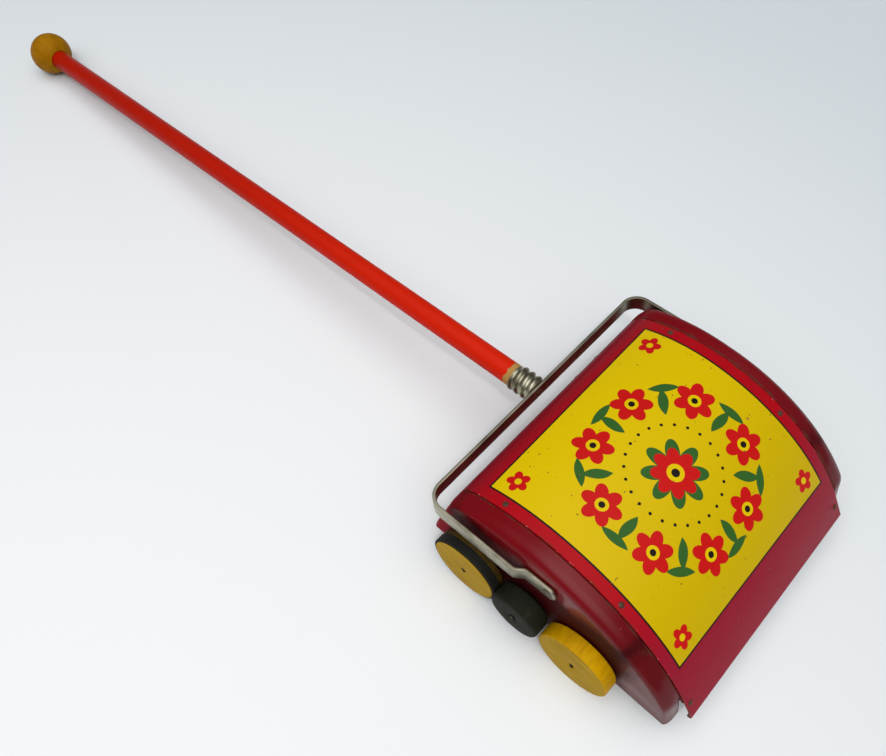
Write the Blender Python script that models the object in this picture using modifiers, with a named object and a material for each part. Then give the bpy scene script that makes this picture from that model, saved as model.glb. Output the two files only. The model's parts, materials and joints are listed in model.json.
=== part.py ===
"""Toy carpet sweeper: a pressed tin body on four wooden wheels, with a steel bail and a long dowel handle.

The front faces -Y and the handle trails towards +Y, resting its ball on the floor. Sizes are in metres.
Inside, a brush roller is driven by friction from the rear tyres, and gears turn a small pinned drum.
"""

import math

import bmesh
import bpy
from mathutils import Vector

MM = 0.001
DEGREE = math.pi / 180
QUARTER = math.pi / 2
ORIGIN = (0, 0, 0)

# Fits between pieces
SEAT = 0.15 * MM
RUNNING = 0.3 * MM

# Body sheet and its side outline, a chain of arcs that meet smoothly
SHEET = 0.7 * MM
COVER_HALF_WIDTH = 68 * MM
CAP_FLAT = 3.5 * MM
CAP_SHOULDER = 6.3 * MM
CAP_FLANGE = 7 * MM
CAP_BACK_DEPTH = 2.2 * MM
BODY_BOTTOM = 15.5 * MM
CROWN_Y = 4 * MM
CROWN_Z = 73 * MM
FRONT_RADIUS = 104 * MM
FRONT_SWEEP = 56 * DEGREE
NOSE_SWEEP = 51 * DEGREE
NOSE_RADIUS = 12 * MM
LIP_LENGTH = 11 * MM
HEM_RADIUS = 1.6 * MM
HEM_SWEEP = 150 * DEGREE
REAR_RADIUS = 90 * MM
REAR_SWEEP = 27.1 * DEGREE
CORNER_RADIUS = 17.6 * MM
WALL_FLARE = 13.5 * DEGREE

# Rivets that hold the cover to the caps
RIVET_RADIUS = 1.1 * MM
RIVET_HEAD_RADIUS = 1.6 * MM
RIVET_HEAD_HEIGHT = 0.8 * MM
RIVET_INSET = 3 * MM
REAR_RIVET_ANGLE = 16.8 * DEGREE
FRONT_RIVET_ANGLE = 22.8 * DEGREE
LIP_RIVET_ANGLE = 57.5 * DEGREE
LIP_RIVET_SLACK = 0.8 * MM

# Dust trays under the body
TRAY_WALL = 5.4 * MM
TRAY_DROP = 3.2 * MM
BRUSH_SLOT_HALF = 23.5 * MM

# Wheels, tyres and friction rollers
WHEEL_RADIUS = 19.8 * MM
WHEEL_WIDTH = 8.4 * MM
WHEEL_CHAMFER = 0.7 * MM
WHEEL_STANDOFF = 0.6 * MM
AXLE_OFFSET = 34 * MM
AXLE_RADIUS = 1.6 * MM
AXLE_PROUD = 0.6 * MM
TYRE_THICKNESS = 0.9 * MM
TYRE_WIDTH = 5.4 * MM
RIM_STEP = 0.4 * MM
ROLLER_Y = 0.3 * MM
ROLLER_Z = 24.2 * MM
ROLLER_PROUD = 2.6 * MM
ROLLER_WIDTH = 10.4 * MM
ROLLER_CHAMFER = 1.6 * MM

# Brush roller
BRUSH_LEFT_END = -66 * MM
BRUSH_RIGHT_END = 49 * MM
BRUSH_CORE_RADIUS = 9 * MM
BRISTLE_RADIUS = 22.2 * MM
BRISTLE_ROWS = 4
TUFT_PITCH = 4.8 * MM
TUFT_ROOT = 2.6 * MM
TUFT_TIP = 4.0 * MM
STRIP_DEPTH = 2.4 * MM
STRIP_WIDTH = 3.0 * MM

# Gears between the brush shaft and the drum shaft
MODULE = 0.95 * MM
PINION_TEETH = 12
GEAR_TEETH = 48
PRESSURE_ANGLE = 25 * DEGREE
ADDENDUM = 0.9
DEDENDUM = 1.2
BACKLASH = 0.3 * MM
CENTRE_EASE = 0.1 * MM
GEAR_LINE_ANGLE = 42 * DEGREE
GEAR_X = 58 * MM
GEAR_WIDTH = 4 * MM
PINION_WIDTH = 6 * MM

# Pinned drum, comb and the bracket that carries them
DRUM_RADIUS = 5 * MM
DRUM_LEFT_END = 17 * MM
DRUM_LENGTH = 33 * MM
DRUM_SHAFT_RADIUS = 1.2 * MM
PIN_HEIGHT = 0.8 * MM
PIN_RADIUS = 0.45 * MM
TRACKS = 12
PINS_PER_TRACK = 3
COMB_CLEARANCE = 0.5 * MM
COMB_THICKNESS = 0.8 * MM
COMB_TOOTH_GAP = 0.6 * MM
COMB_BASE = 8 * MM
LONGEST_TOOTH = 11 * MM
SHORTEST_TOOTH = 8 * MM
RAIL_HEIGHT = 4 * MM
COMB_SCREW_RADIUS = 1.1 * MM
BRACKET_SHEET = 1.2 * MM
BRACKET_HEIGHT = 12 * MM
BRACKET_DROP = 1.5 * MM
BOSS_RADIUS = 5 * MM
BRACKET_RIVET_INSET = 9 * MM

# Bail: a flat strap bent round the body, hung on a pin at each end cap
PIVOT_Y = -8.5 * MM
PIVOT_Z = 58 * MM
PIVOT_RADIUS = 1.9 * MM
STRAP_WIDTH = 9.2 * MM
STRAP_THICKNESS = 1.6 * MM
STRAP_GAP = 0.4 * MM
BAIL_LENGTH = 71.5 * MM
BAIL_CORNER = 9 * MM
JOGGLE = 3.2 * MM
JOGGLE_START = 12 * MM
JOGGLE_LENGTH = 6 * MM

# Handle: coil socket, dowel and ball
REACH = 539.5 * MM
ROD_RADIUS = 6.35 * MM
BALL_RADIUS = 14.2 * MM
BALL_BORE_DEPTH = 13 * MM
WIRE_RADIUS = 1.85 * MM
COIL_RADIUS = 5.65 * MM
COIL_PITCH = 4.3 * MM
COIL_TURNS = 3
COIL_POINTS = 10
SCREW_RADIUS = 1.4 * MM
SCREW_HEAD_RADIUS = 3.2 * MM
SCREW_LENGTH = 12 * MM

# Facets
ROUND_STEPS = 40
SHAFT_STEPS = 16
RIVET_STEPS = 10

# Colour, roughness and metallic value of each finish
FINISHES = {
    "red_tin": ((0.42, 0.012, 0.012), 0.38, 0.0),
    "maroon_tin": ((0.23, 0.022, 0.022), 0.4, 0.0),
    "yellow_wood": ((0.42, 0.24, 0.02), 0.5, 0.0),
    "red_wood": ((0.5, 0.012, 0.003), 0.35, 0.0),
    "bare_wood": ((0.45, 0.24, 0.07), 0.65, 0.0),
    "black_paint": ((0.033, 0.036, 0.025), 0.5, 0.0),
    "rubber": ((0.02, 0.022, 0.02), 0.8, 0.0),
    "steel": ((0.3, 0.3, 0.26), 0.35, 1.0),
    "dark_steel": ((0.11, 0.08, 0.06), 0.5, 1.0),
    "brass": ((0.6, 0.42, 0.16), 0.35, 1.0),
    "bristle": ((0.06, 0.045, 0.03), 0.8, 0.0),
}


def clear_scene():
    for obj in list(bpy.data.objects):
        bpy.data.objects.remove(obj, do_unlink=True)


def new_collection(name):
    made = bpy.data.collections.new(name)
    bpy.context.scene.collection.children.link(made)
    return made


clear_scene()
PARTS = new_collection("toy_carpet_sweeper")
CUTTERS = new_collection("cutters")


def finish_of(name, finish):
    colour, roughness, metallic = FINISHES[finish]
    made = bpy.data.materials.new(name + "_finish")
    made.use_nodes = True
    shader = made.node_tree.nodes["Principled BSDF"]
    shader.inputs["Base Color"].default_value = (*colour, 1)
    shader.inputs["Roughness"].default_value = roughness
    shader.inputs["Metallic"].default_value = metallic
    return made


def empty(name, location, parent=None, rotation=ORIGIN):
    made = bpy.data.objects.new(name, None)
    PARTS.objects.link(made)
    made.parent = parent
    made.location = location
    made.rotation_euler = rotation
    return made


def part(name, shape, finish, parent, location=ORIGIN, rotation=ORIGIN):
    made = bpy.data.objects.new(name, shape)
    PARTS.objects.link(made)
    shape.materials.append(finish_of(name, finish))
    made.parent = parent
    made.location = location
    made.rotation_euler = rotation
    return made


def cutter(name, shape, parent, location=ORIGIN, rotation=ORIGIN):
    made = bpy.data.objects.new(name, shape)
    CUTTERS.objects.link(made)
    made.hide_render = True
    made.display_type = "WIRE"
    made.parent = parent
    made.location = location
    made.rotation_euler = rotation
    return made


def mesh_of(name, bm):
    mesh = bpy.data.meshes.new(name)
    bm.to_mesh(mesh)
    bm.free()
    return mesh


def cylinder(name, radius, length, steps=SHAFT_STEPS):
    bm = bmesh.new()
    bmesh.ops.create_cone(
        bm, cap_ends=True, segments=steps, radius1=radius, radius2=radius, depth=length
    )
    return mesh_of(name, bm)


def box(name, size):
    bm = bmesh.new()
    bmesh.ops.create_cube(bm, size=1)
    bmesh.ops.scale(bm, vec=size, verts=bm.verts)
    return mesh_of(name, bm)


def flat_plate(name, outlines, thickness):
    """A plate cut to closed outlines in its own XY plane; inner outlines are holes."""
    curve = bpy.data.curves.new(name, "CURVE")
    curve.dimensions = "2D"
    curve.fill_mode = "BOTH"
    curve.extrude = thickness / 2
    for outline in outlines:
        spline = curve.splines.new("POLY")
        spline.points.add(len(outline) - 1)
        spline.use_cyclic_u = True
        for point, (x, y) in zip(spline.points, outline):
            point.co = (x, y, 0, 1)
    guide = bpy.data.objects.new(name + "_guide", curve)
    PARTS.objects.link(guide)
    bpy.context.view_layer.update()
    graph = bpy.context.evaluated_depsgraph_get()
    mesh = bpy.data.meshes.new_from_object(guide.evaluated_get(graph))
    bpy.data.objects.remove(guide)
    mesh.materials.clear()
    bm = bmesh.new()
    bm.from_mesh(mesh)
    bmesh.ops.remove_doubles(bm, verts=bm.verts, dist=SEAT / 100)
    bm.to_mesh(mesh)
    bm.free()
    return mesh


def turned(name, profile, finish, parent, location=ORIGIN, rotation=ORIGIN, ring=False, steps=ROUND_STEPS):
    """A piece turned about its own Z axis from (radius, height) points that run down its outer side."""
    points = [(radius, 0, height) for radius, height in profile]
    edges = [(i, i + 1) for i in range(len(points) - 1)]
    if ring:
        edges.append((len(points) - 1, 0))
    mesh = bpy.data.meshes.new(name)
    mesh.from_pydata(points, edges, [])
    made = part(name, mesh, finish, parent, location, rotation)
    screw = made.modifiers.new("turn", "SCREW")
    screw.steps = steps
    screw.render_steps = steps
    screw.use_merge_vertices = True
    screw.merge_threshold = SEAT / 100
    return made


def boolean(made, other, operation="DIFFERENCE"):
    modifier = made.modifiers.new(other.name, "BOOLEAN")
    modifier.operation = operation
    modifier.object = other


def thicken(made, thickness, offset):
    sheet = made.modifiers.new("sheet", "SOLIDIFY")
    sheet.thickness = thickness
    sheet.offset = offset
    sheet.use_even_offset = True


def direction(angle):
    """Unit vector in the side view, from +Y towards +Z, as (y, z)."""
    return Vector((math.cos(angle), math.sin(angle)))


def arc(centre, radius, start, end, pieces, end_radius=None):
    """Points on an arc, which winds in or out along the way if it has an end radius."""
    growth = 0 if end_radius is None else end_radius - radius
    points = []
    for i in range(pieces + 1):
        share = i / pieces
        points.append(centre + (radius + growth * share) * direction(start + (end - start) * share))
    return points


# Side outline of the body
CROWN_ANGLE = QUARTER
FRONT_END_ANGLE = CROWN_ANGLE + FRONT_SWEEP
REAR_END_ANGLE = CROWN_ANGLE - REAR_SWEEP
FRONT_CENTRE = Vector((CROWN_Y, CROWN_Z - FRONT_RADIUS))
REAR_CENTRE = Vector((CROWN_Y, CROWN_Z - REAR_RADIUS))
CORNER_CENTRE = REAR_CENTRE + (REAR_RADIUS - CORNER_RADIUS) * direction(REAR_END_ANGLE)
NOSE_ANGLE = CROWN_ANGLE + NOSE_SWEEP
NOSE_WALL_ANGLE = math.pi - WALL_FLARE
WALL_DIRECTION = direction(WALL_FLARE - QUARTER)
NOSE_WALL_DIRECTION = direction(NOSE_WALL_ANGLE + QUARTER)
CAP_BACK_SHARE = CAP_BACK_DEPTH / CAP_SHOULDER


def down_wall(top, down, height):
    """The point at a height on a straight wall that runs down from top."""
    return top + (height - top.y) / down.y * down


def wall_point(height, inset):
    """The point of the flared rear wall at a height, moved in by inset."""
    top = CORNER_CENTRE + (CORNER_RADIUS - inset) * direction(WALL_FLARE)
    return down_wall(top, WALL_DIRECTION, height)


def nose_turn(inset, leave_angle):
    """The round nose of a cap, from where it leaves the cover's front arc to its flared front wall."""
    centre = FRONT_CENTRE + (FRONT_RADIUS - NOSE_RADIUS) * direction(leave_angle)
    return arc(centre, NOSE_RADIUS - inset, leave_angle, NOSE_WALL_ANGLE, 3)


def nose_point(height, inset, leave_angle):
    """The point of a cap's front wall at a height, moved in by inset."""
    return down_wall(nose_turn(inset, leave_angle)[-1], NOSE_WALL_DIRECTION, height)


def crown_outline(inset, depth, leave_angle):
    """From the top of the rear wall over the crown to the nose, moved in by inset and a shoulder's depth."""
    back = inset + CAP_BACK_SHARE * depth
    front = inset + depth
    corner = arc(CORNER_CENTRE, CORNER_RADIUS - back, WALL_FLARE, REAR_END_ANGLE, 5)
    rear = arc(REAR_CENTRE, REAR_RADIUS - back, REAR_END_ANGLE, CROWN_ANGLE, 5, REAR_RADIUS - front)
    falling = arc(FRONT_CENTRE, FRONT_RADIUS - front, CROWN_ANGLE, leave_angle, 11)
    return corner + rear[1:] + falling[1:]


def cap_outline(inset, depth, leave_angle):
    """The end cap's outline, with its feet past the bottom edge, where it is trimmed."""
    foot = BODY_BOTTOM - 2 * SHEET
    rear_foot = wall_point(foot, inset + CAP_BACK_SHARE * depth)
    nose_foot = nose_point(foot, inset + depth, leave_angle)
    nose = nose_turn(inset + depth, leave_angle)
    return [rear_foot] + crown_outline(inset, depth, leave_angle) + nose[1:] + [nose_foot]


def cover_outline():
    """The cover's outline from the foot of the rear wall to the turned-under hem of the front lip."""
    lip_start = FRONT_CENTRE + FRONT_RADIUS * direction(FRONT_END_ANGLE)
    lip = lip_start + LIP_LENGTH * direction(FRONT_END_ANGLE + QUARTER)
    hem_centre = lip - HEM_RADIUS * direction(FRONT_END_ANGLE)
    hem = arc(hem_centre, HEM_RADIUS, FRONT_END_ANGLE, FRONT_END_ANGLE + HEM_SWEEP, 6)
    return [wall_point(BODY_BOTTOM, 0)] + crown_outline(0, 0, FRONT_END_ANGLE) + hem


def loft(rows, flip=False, close_end=False):
    """A sheet through rows of equally many points, with the last row closed by one face if asked."""
    bm = bmesh.new()
    grid = [[bm.verts.new(point) for point in row] for row in rows]
    faces = []
    for near, far in zip(grid, grid[1:]):
        for i in range(len(near) - 1):
            faces.append((near[i], near[i + 1], far[i + 1], far[i]))
    if close_end:
        faces.append(tuple(grid[-1]))
    for face in faces:
        bm.faces.new(tuple(reversed(face)) if flip else face)
    return bm


# Places that follow from the driving sizes
CAP_STEP_X = COVER_HALF_WIDTH + SEAT
CAP_FACE_X = CAP_STEP_X + SHEET + CAP_FLAT + CAP_SHOULDER
CAP_INNER_X = CAP_FACE_X - SHEET
TRAY_BOTTOM = BODY_BOTTOM - TRAY_DROP
WHEEL_INNER_X = CAP_FACE_X + WHEEL_STANDOFF
WHEEL_OUTER_X = WHEEL_INNER_X + WHEEL_WIDTH
AXLE_Z = WHEEL_RADIUS
ROLLER_OUTER_X = WHEEL_OUTER_X + ROLLER_PROUD
ROLLER_TO_REAR = math.hypot(AXLE_OFFSET - ROLLER_Y, ROLLER_Z - AXLE_Z)
ROLLER_RADIUS = ROLLER_TO_REAR - WHEEL_RADIUS - RUNNING
GEAR_CENTRES = MODULE * (PINION_TEETH + GEAR_TEETH) / 2 + CENTRE_EASE
DRUM_AXIS = Vector((ROLLER_Y, ROLLER_Z)) + GEAR_CENTRES * direction(GEAR_LINE_ANGLE)
STRAP_END_X = CAP_FACE_X + STRAP_GAP + STRAP_THICKNESS / 2
STRAP_ARM_X = STRAP_END_X + JOGGLE
REST_TILT = math.asin((PIVOT_Z - BALL_RADIUS) / REACH)
FRONT_Y = min(point.x for point in cover_outline())
BACK_Y = PIVOT_Y + REACH * math.cos(REST_TILT) + BALL_RADIUS
SIDES = {"left": -1, "right": 1}

SWEEPER = empty("sweeper_origin", (0, -(FRONT_Y + BACK_Y) / 2, 0))
FRONT_AXIS = empty("front_axle_axis", (0, -AXLE_OFFSET, AXLE_Z), SWEEPER)
REAR_AXIS = empty("rear_axle_axis", (0, AXLE_OFFSET, AXLE_Z), SWEEPER)
BRUSH_AXIS = empty("brush_axis", (0, ROLLER_Y, ROLLER_Z), SWEEPER)
DRUM_AXLE = empty("drum_axis", (0, DRUM_AXIS.x, DRUM_AXIS.y), SWEEPER)
BAIL_AXIS = empty("bail_axis", (0, PIVOT_Y, PIVOT_Z), SWEEPER, (-REST_TILT, 0, 0))
ALONG_X = (0, QUARTER, 0)
ALONG_Y = (-QUARTER, 0, 0)


def bore_through_caps(name, radius, axis):
    """A long cutter along X on a shaft's axis, for the running holes in both end caps."""
    length = 2 * (ROLLER_OUTER_X + WHEEL_WIDTH)
    return cutter(name, cylinder(name, radius + RUNNING, length), axis, ORIGIN, ALONG_X)


def rivet_sites():
    """Where each side's rivets pierce the cover: name, point on the outline, outward angle and slack.

    The lip's rivet has slack, because the cap's flange starts to turn away from the cover there.
    """
    rear = CROWN_ANGLE - REAR_RIVET_ANGLE
    front = CROWN_ANGLE + FRONT_RIVET_ANGLE
    lip = CROWN_ANGLE + LIP_RIVET_ANGLE
    return (
        ("rear", REAR_CENTRE + REAR_RADIUS * direction(rear), rear, 0),
        ("front", FRONT_CENTRE + FRONT_RADIUS * direction(front), front, 0),
        ("lip", FRONT_CENTRE + FRONT_RADIUS * direction(lip), lip, LIP_RIVET_SLACK),
    )


def rivet(name, location, angle, stack):
    """A round-head rivet through sheets of total thickness stack, with its tail upset inside."""
    tail = -stack - RUNNING
    profile = (
        (0, SEAT + RIVET_HEAD_HEIGHT),
        (RIVET_HEAD_RADIUS * 0.6, SEAT + RIVET_HEAD_HEIGHT * 0.8),
        (RIVET_HEAD_RADIUS, SEAT),
        (RIVET_RADIUS, SEAT),
        (RIVET_RADIUS, tail),
        (RIVET_HEAD_RADIUS, tail),
        (RIVET_HEAD_RADIUS * 0.7, tail - RIVET_HEAD_HEIGHT),
        (0, tail - RIVET_HEAD_HEIGHT),
    )
    tilt = (angle - QUARTER, 0, 0)
    turned(name, profile, "dark_steel", SWEEPER, location, tilt, steps=RIVET_STEPS)


def rivet_hole(name, location, angle, stack):
    depth = 4 * (stack + RIVET_HEAD_HEIGHT)
    shape = cylinder(name, RIVET_RADIUS + SEAT, depth, RIVET_STEPS)
    return cutter(name, shape, SWEEPER, location, (angle - QUARTER, 0, 0))


def make_cover_rivets():
    """Rivets through the cover's edge and the cap's flange; returns the holes of each side."""
    stack = 2 * SHEET + SEAT
    holes = {}
    for side, sign in SIDES.items():
        holes[side] = []
        for place, point, angle, slack in rivet_sites():
            location = (sign * (COVER_HALF_WIDTH - RIVET_INSET), point.x, point.y)
            name = f"{side}_{place}_rivet"
            rivet(name, location, angle, stack + slack)
            holes[side].append(rivet_hole(name + "_hole", location, angle, stack))
    return holes


def make_cover(holes):
    outline = cover_outline()
    rows = [[(x, p.x, p.y) for p in outline] for x in (-COVER_HALF_WIDTH, COVER_HALF_WIDTH)]
    cover = part("top_cover", mesh_of("top_cover", loft(rows)), "red_tin", SWEEPER)
    thicken(cover, SHEET, -1)
    for hole in holes:
        boolean(cover, hole)


def cap_rows(sign):
    """Outlines from the flange under the cover, out over the rounded shoulder to the flat face."""
    flange = cap_outline(SHEET + SEAT, 0, FRONT_END_ANGLE)
    flat_start = CAP_STEP_X + SHEET
    stations = [(COVER_HALF_WIDTH - CAP_FLANGE, flange), (CAP_STEP_X, flange)]
    stations.append((flat_start, cap_outline(0, 0, NOSE_ANGLE)))
    steps = 4
    for i in range(steps + 1):
        turn = CAP_SHOULDER * direction(QUARTER * (1 - i / steps))
        outline = cap_outline(0, CAP_SHOULDER - turn.y, NOSE_ANGLE)
        stations.append((flat_start + CAP_FLAT + turn.x, outline))
    return [[(sign * x, p.x, p.y) for p in outline] for x, outline in stations]


def make_cap(side, sign, holes):
    name = side + "_end_cap"
    bm = loft(cap_rows(sign), flip=sign < 0, close_end=True)
    everything = bm.verts[:] + bm.edges[:] + bm.faces[:]
    bmesh.ops.bisect_plane(
        bm, geom=everything, plane_co=(0, 0, BODY_BOTTOM), plane_no=(0, 0, 1), clear_inner=True
    )
    cap = part(name, mesh_of(name, bm), "maroon_tin", SWEEPER)
    thicken(cap, SHEET, -1)
    for hole in holes:
        boolean(cap, hole)


def tray_outline(inner_y, outer_y):
    """A tray seen from above: square at the brush, with round corners that nest in the end caps."""
    half = CAP_INNER_X - RUNNING
    towards = math.copysign(1, outer_y - inner_y)
    radius = CAP_SHOULDER
    corner = []
    for i in range(5):
        turn = radius * direction(QUARTER * i / 4)
        corner.append((half - radius + turn.x, outer_y + towards * (turn.y - radius)))
    right = [(half, inner_y)] + corner
    return right + [(-x, y) for x, y in reversed(right)]


def make_tray(name, inner_y, outer_y):
    """A pressed tray with upturned edges, between the end caps."""
    bm = bmesh.new()
    corners = [bm.verts.new((x, y, TRAY_BOTTOM)) for x, y in tray_outline(inner_y, outer_y)]
    floor = bm.faces.new(corners)
    walls = bmesh.ops.extrude_edge_only(bm, edges=floor.edges[:])
    rim = [v for v in walls["geom"] if isinstance(v, bmesh.types.BMVert)]
    bmesh.ops.translate(bm, vec=(0, 0, TRAY_WALL), verts=rim)
    bmesh.ops.recalc_face_normals(bm, faces=bm.faces)
    tray = part(name, mesh_of(name, bm), "dark_steel", SWEEPER)
    thicken(tray, SHEET, -1)


def make_trays():
    """One tray before the brush and one behind it, each reaching out to the caps' flanges."""
    flange_inset = 2 * SHEET + SEAT + RUNNING
    rim_z = TRAY_BOTTOM + TRAY_WALL
    nose_y = nose_point(rim_z, flange_inset, NOSE_ANGLE).x
    rear_y = wall_point(rim_z, flange_inset).x
    make_tray("front_dust_tray", ROLLER_Y - BRUSH_SLOT_HALF, nose_y)
    make_tray("rear_dust_tray", ROLLER_Y + BRUSH_SLOT_HALF, rear_y)


def ring_profile(outer, bore, low, high, chamfer):
    """A disc with a bore and chamfered rims, as one closed profile."""
    return (
        (outer - chamfer, high),
        (outer, high - chamfer),
        (outer, low + chamfer),
        (outer - chamfer, low),
        (bore, low),
        (bore, high),
    )


def make_axle(name, axis, end_x):
    nose = AXLE_RADIUS * 0.4
    profile = (
        (0, end_x),
        (AXLE_RADIUS - nose, end_x),
        (AXLE_RADIUS, end_x - nose),
        (AXLE_RADIUS, nose - end_x),
        (AXLE_RADIUS - nose, -end_x),
        (0, -end_x),
    )
    turned(name, profile, "steel", axis, ORIGIN, ALONG_X, steps=SHAFT_STEPS)


def make_front_wheels():
    make_axle("front_axle", FRONT_AXIS, WHEEL_OUTER_X + AXLE_PROUD)
    bore = AXLE_RADIUS + SEAT
    profile = ring_profile(WHEEL_RADIUS, bore, WHEEL_INNER_X, WHEEL_OUTER_X, WHEEL_CHAMFER)
    for side, sign in SIDES.items():
        facing = (0, sign * QUARTER, 0)
        turned(f"front_{side}_wheel", profile, "yellow_wood", FRONT_AXIS, ORIGIN, facing, ring=True)


def rear_wheel_profile():
    """A wooden wheel stepped down at its outer side for the tyre, with a low flange at its inner side."""
    core = WHEEL_RADIUS - TYRE_THICKNESS - SEAT
    flange = WHEEL_RADIUS - RIM_STEP
    shoulder = WHEEL_OUTER_X - TYRE_WIDTH - SEAT
    bore = AXLE_RADIUS + SEAT
    return (
        (core - WHEEL_CHAMFER, WHEEL_OUTER_X),
        (core, WHEEL_OUTER_X - WHEEL_CHAMFER),
        (core, shoulder),
        (flange, shoulder),
        (flange, WHEEL_INNER_X + WHEEL_CHAMFER),
        (flange - WHEEL_CHAMFER, WHEEL_INNER_X),
        (bore, WHEEL_INNER_X),
        (bore, WHEEL_OUTER_X),
    )


def make_rear_wheels():
    make_axle("rear_axle", REAR_AXIS, WHEEL_OUTER_X + AXLE_PROUD)
    tyre_inner = WHEEL_RADIUS - TYRE_THICKNESS
    tyre_low = WHEEL_OUTER_X - TYRE_WIDTH
    tyre_chamfer = TYRE_THICKNESS * 0.4
    tyre = ring_profile(WHEEL_RADIUS, tyre_inner, tyre_low, WHEEL_OUTER_X - WHEEL_CHAMFER, tyre_chamfer)
    for side, sign in SIDES.items():
        facing = (0, sign * QUARTER, 0)
        wheel = rear_wheel_profile()
        turned(f"rear_{side}_wheel", wheel, "yellow_wood", REAR_AXIS, ORIGIN, facing, ring=True)
        turned(f"rear_{side}_tyre", tyre, "rubber", REAR_AXIS, ORIGIN, facing, ring=True)


def make_rollers():
    make_axle("brush_shaft", BRUSH_AXIS, ROLLER_OUTER_X + AXLE_PROUD)
    inner_x = ROLLER_OUTER_X - ROLLER_WIDTH
    profile = ring_profile(ROLLER_RADIUS, AXLE_RADIUS + SEAT, inner_x, ROLLER_OUTER_X, ROLLER_CHAMFER)
    for side, sign in SIDES.items():
        facing = (0, sign * QUARTER, 0)
        turned(f"{side}_friction_roller", profile, "black_paint", BRUSH_AXIS, ORIGIN, facing, ring=True)


def tuft_strip_outline():
    """A strip of backing along X with a row of tufts that flare towards their tips, as (x, radius)."""
    root = BRUSH_CORE_RADIUS
    count = int((BRUSH_RIGHT_END - BRUSH_LEFT_END - TUFT_TIP) / TUFT_PITCH) + 1
    first = (BRUSH_LEFT_END + BRUSH_RIGHT_END - (count - 1) * TUFT_PITCH) / 2
    base = root - STRIP_DEPTH
    points = [(BRUSH_RIGHT_END, root), (BRUSH_RIGHT_END, base)]
    points += [(BRUSH_LEFT_END, base), (BRUSH_LEFT_END, root)]
    for i in range(count):
        middle = first + i * TUFT_PITCH
        points.append((middle - TUFT_ROOT / 2, root))
        points.append((middle - TUFT_TIP / 2, BRISTLE_RADIUS))
        points.append((middle + TUFT_TIP / 2, BRISTLE_RADIUS))
        points.append((middle + TUFT_ROOT / 2, root))
    return points


def make_brush():
    bore = AXLE_RADIUS + SEAT
    profile = (
        (BRUSH_CORE_RADIUS, BRUSH_RIGHT_END),
        (BRUSH_CORE_RADIUS, BRUSH_LEFT_END),
        (bore, BRUSH_LEFT_END),
        (bore, BRUSH_RIGHT_END),
    )
    core = turned("brush_core", profile, "bare_wood", BRUSH_AXIS, ORIGIN, ALONG_X, ring=True, steps=32)
    length = 2 * (BRUSH_RIGHT_END - BRUSH_LEFT_END)
    groove_height = 2 * STRIP_DEPTH
    for row in range(BRISTLE_ROWS):
        angle = (row + 0.5) * 2 * math.pi / BRISTLE_ROWS
        turn = (angle, 0, 0)
        name = f"bristle_strip_{row + 1}"
        strip = flat_plate(name, [tuft_strip_outline()], STRIP_WIDTH)
        part(name, strip, "bristle", BRUSH_AXIS, ORIGIN, turn)
        centre = (BRUSH_CORE_RADIUS - STRIP_DEPTH - SEAT + groove_height / 2) * direction(angle)
        shape = box(name + "_groove", (length, groove_height, STRIP_WIDTH + 2 * SEAT))
        boolean(core, cutter(name + "_groove", shape, BRUSH_AXIS, (0, centre.x, centre.y), turn))


def involute(angle):
    return math.tan(angle) - angle


def gear_outline(teeth, first_tooth):
    """An involute spur gear's outline about its own axis, with one tooth centred at first_tooth."""
    pitch = MODULE * teeth / 2
    base = pitch * math.cos(PRESSURE_ANGLE)
    root = pitch - DEDENDUM * MODULE
    tip = pitch + ADDENDUM * MODULE
    low = max(base, root)
    half_at_pitch = math.pi / (2 * teeth) - BACKLASH / (4 * pitch)
    flank = [low + (tip - low) * i / 2 for i in range(3)]
    half = [half_at_pitch + involute(PRESSURE_ANGLE) - involute(math.acos(base / r)) for r in flank]
    side = [(root, half[0])] + list(zip(flank, half))
    points = []
    for tooth in range(teeth):
        middle = first_tooth + tooth * 2 * math.pi / teeth
        points += [r * direction(middle - a) for r, a in side]
        points += [r * direction(middle + a) for r, a in reversed(side)]
    return [(p.x, p.y) for p in points]


def round_outline(radius, steps=SHAFT_STEPS):
    return [tuple(radius * direction(i * 2 * math.pi / steps)) for i in range(steps)]


def make_gears():
    """A pinion on the brush shaft and a large gear on the drum shaft, in mesh along one line."""
    towards_drum = GEAR_LINE_ANGLE + QUARTER
    pinion = [gear_outline(PINION_TEETH, towards_drum), round_outline(AXLE_RADIUS + SEAT)]
    shape = flat_plate("drive_pinion", pinion, PINION_WIDTH)
    part("drive_pinion", shape, "brass", BRUSH_AXIS, (GEAR_X, 0, 0), ALONG_X)
    towards_brush = towards_drum + math.pi
    half_tooth = math.pi / GEAR_TEETH
    gear = [gear_outline(GEAR_TEETH, towards_brush + half_tooth), round_outline(DRUM_SHAFT_RADIUS + SEAT)]
    shape = flat_plate("drum_gear", gear, GEAR_WIDTH)
    part("drum_gear", shape, "brass", DRUM_AXLE, (GEAR_X, 0, 0), ALONG_X)


def track_x(track):
    return DRUM_LEFT_END + DRUM_LENGTH * (track + 0.5) / TRACKS


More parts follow.
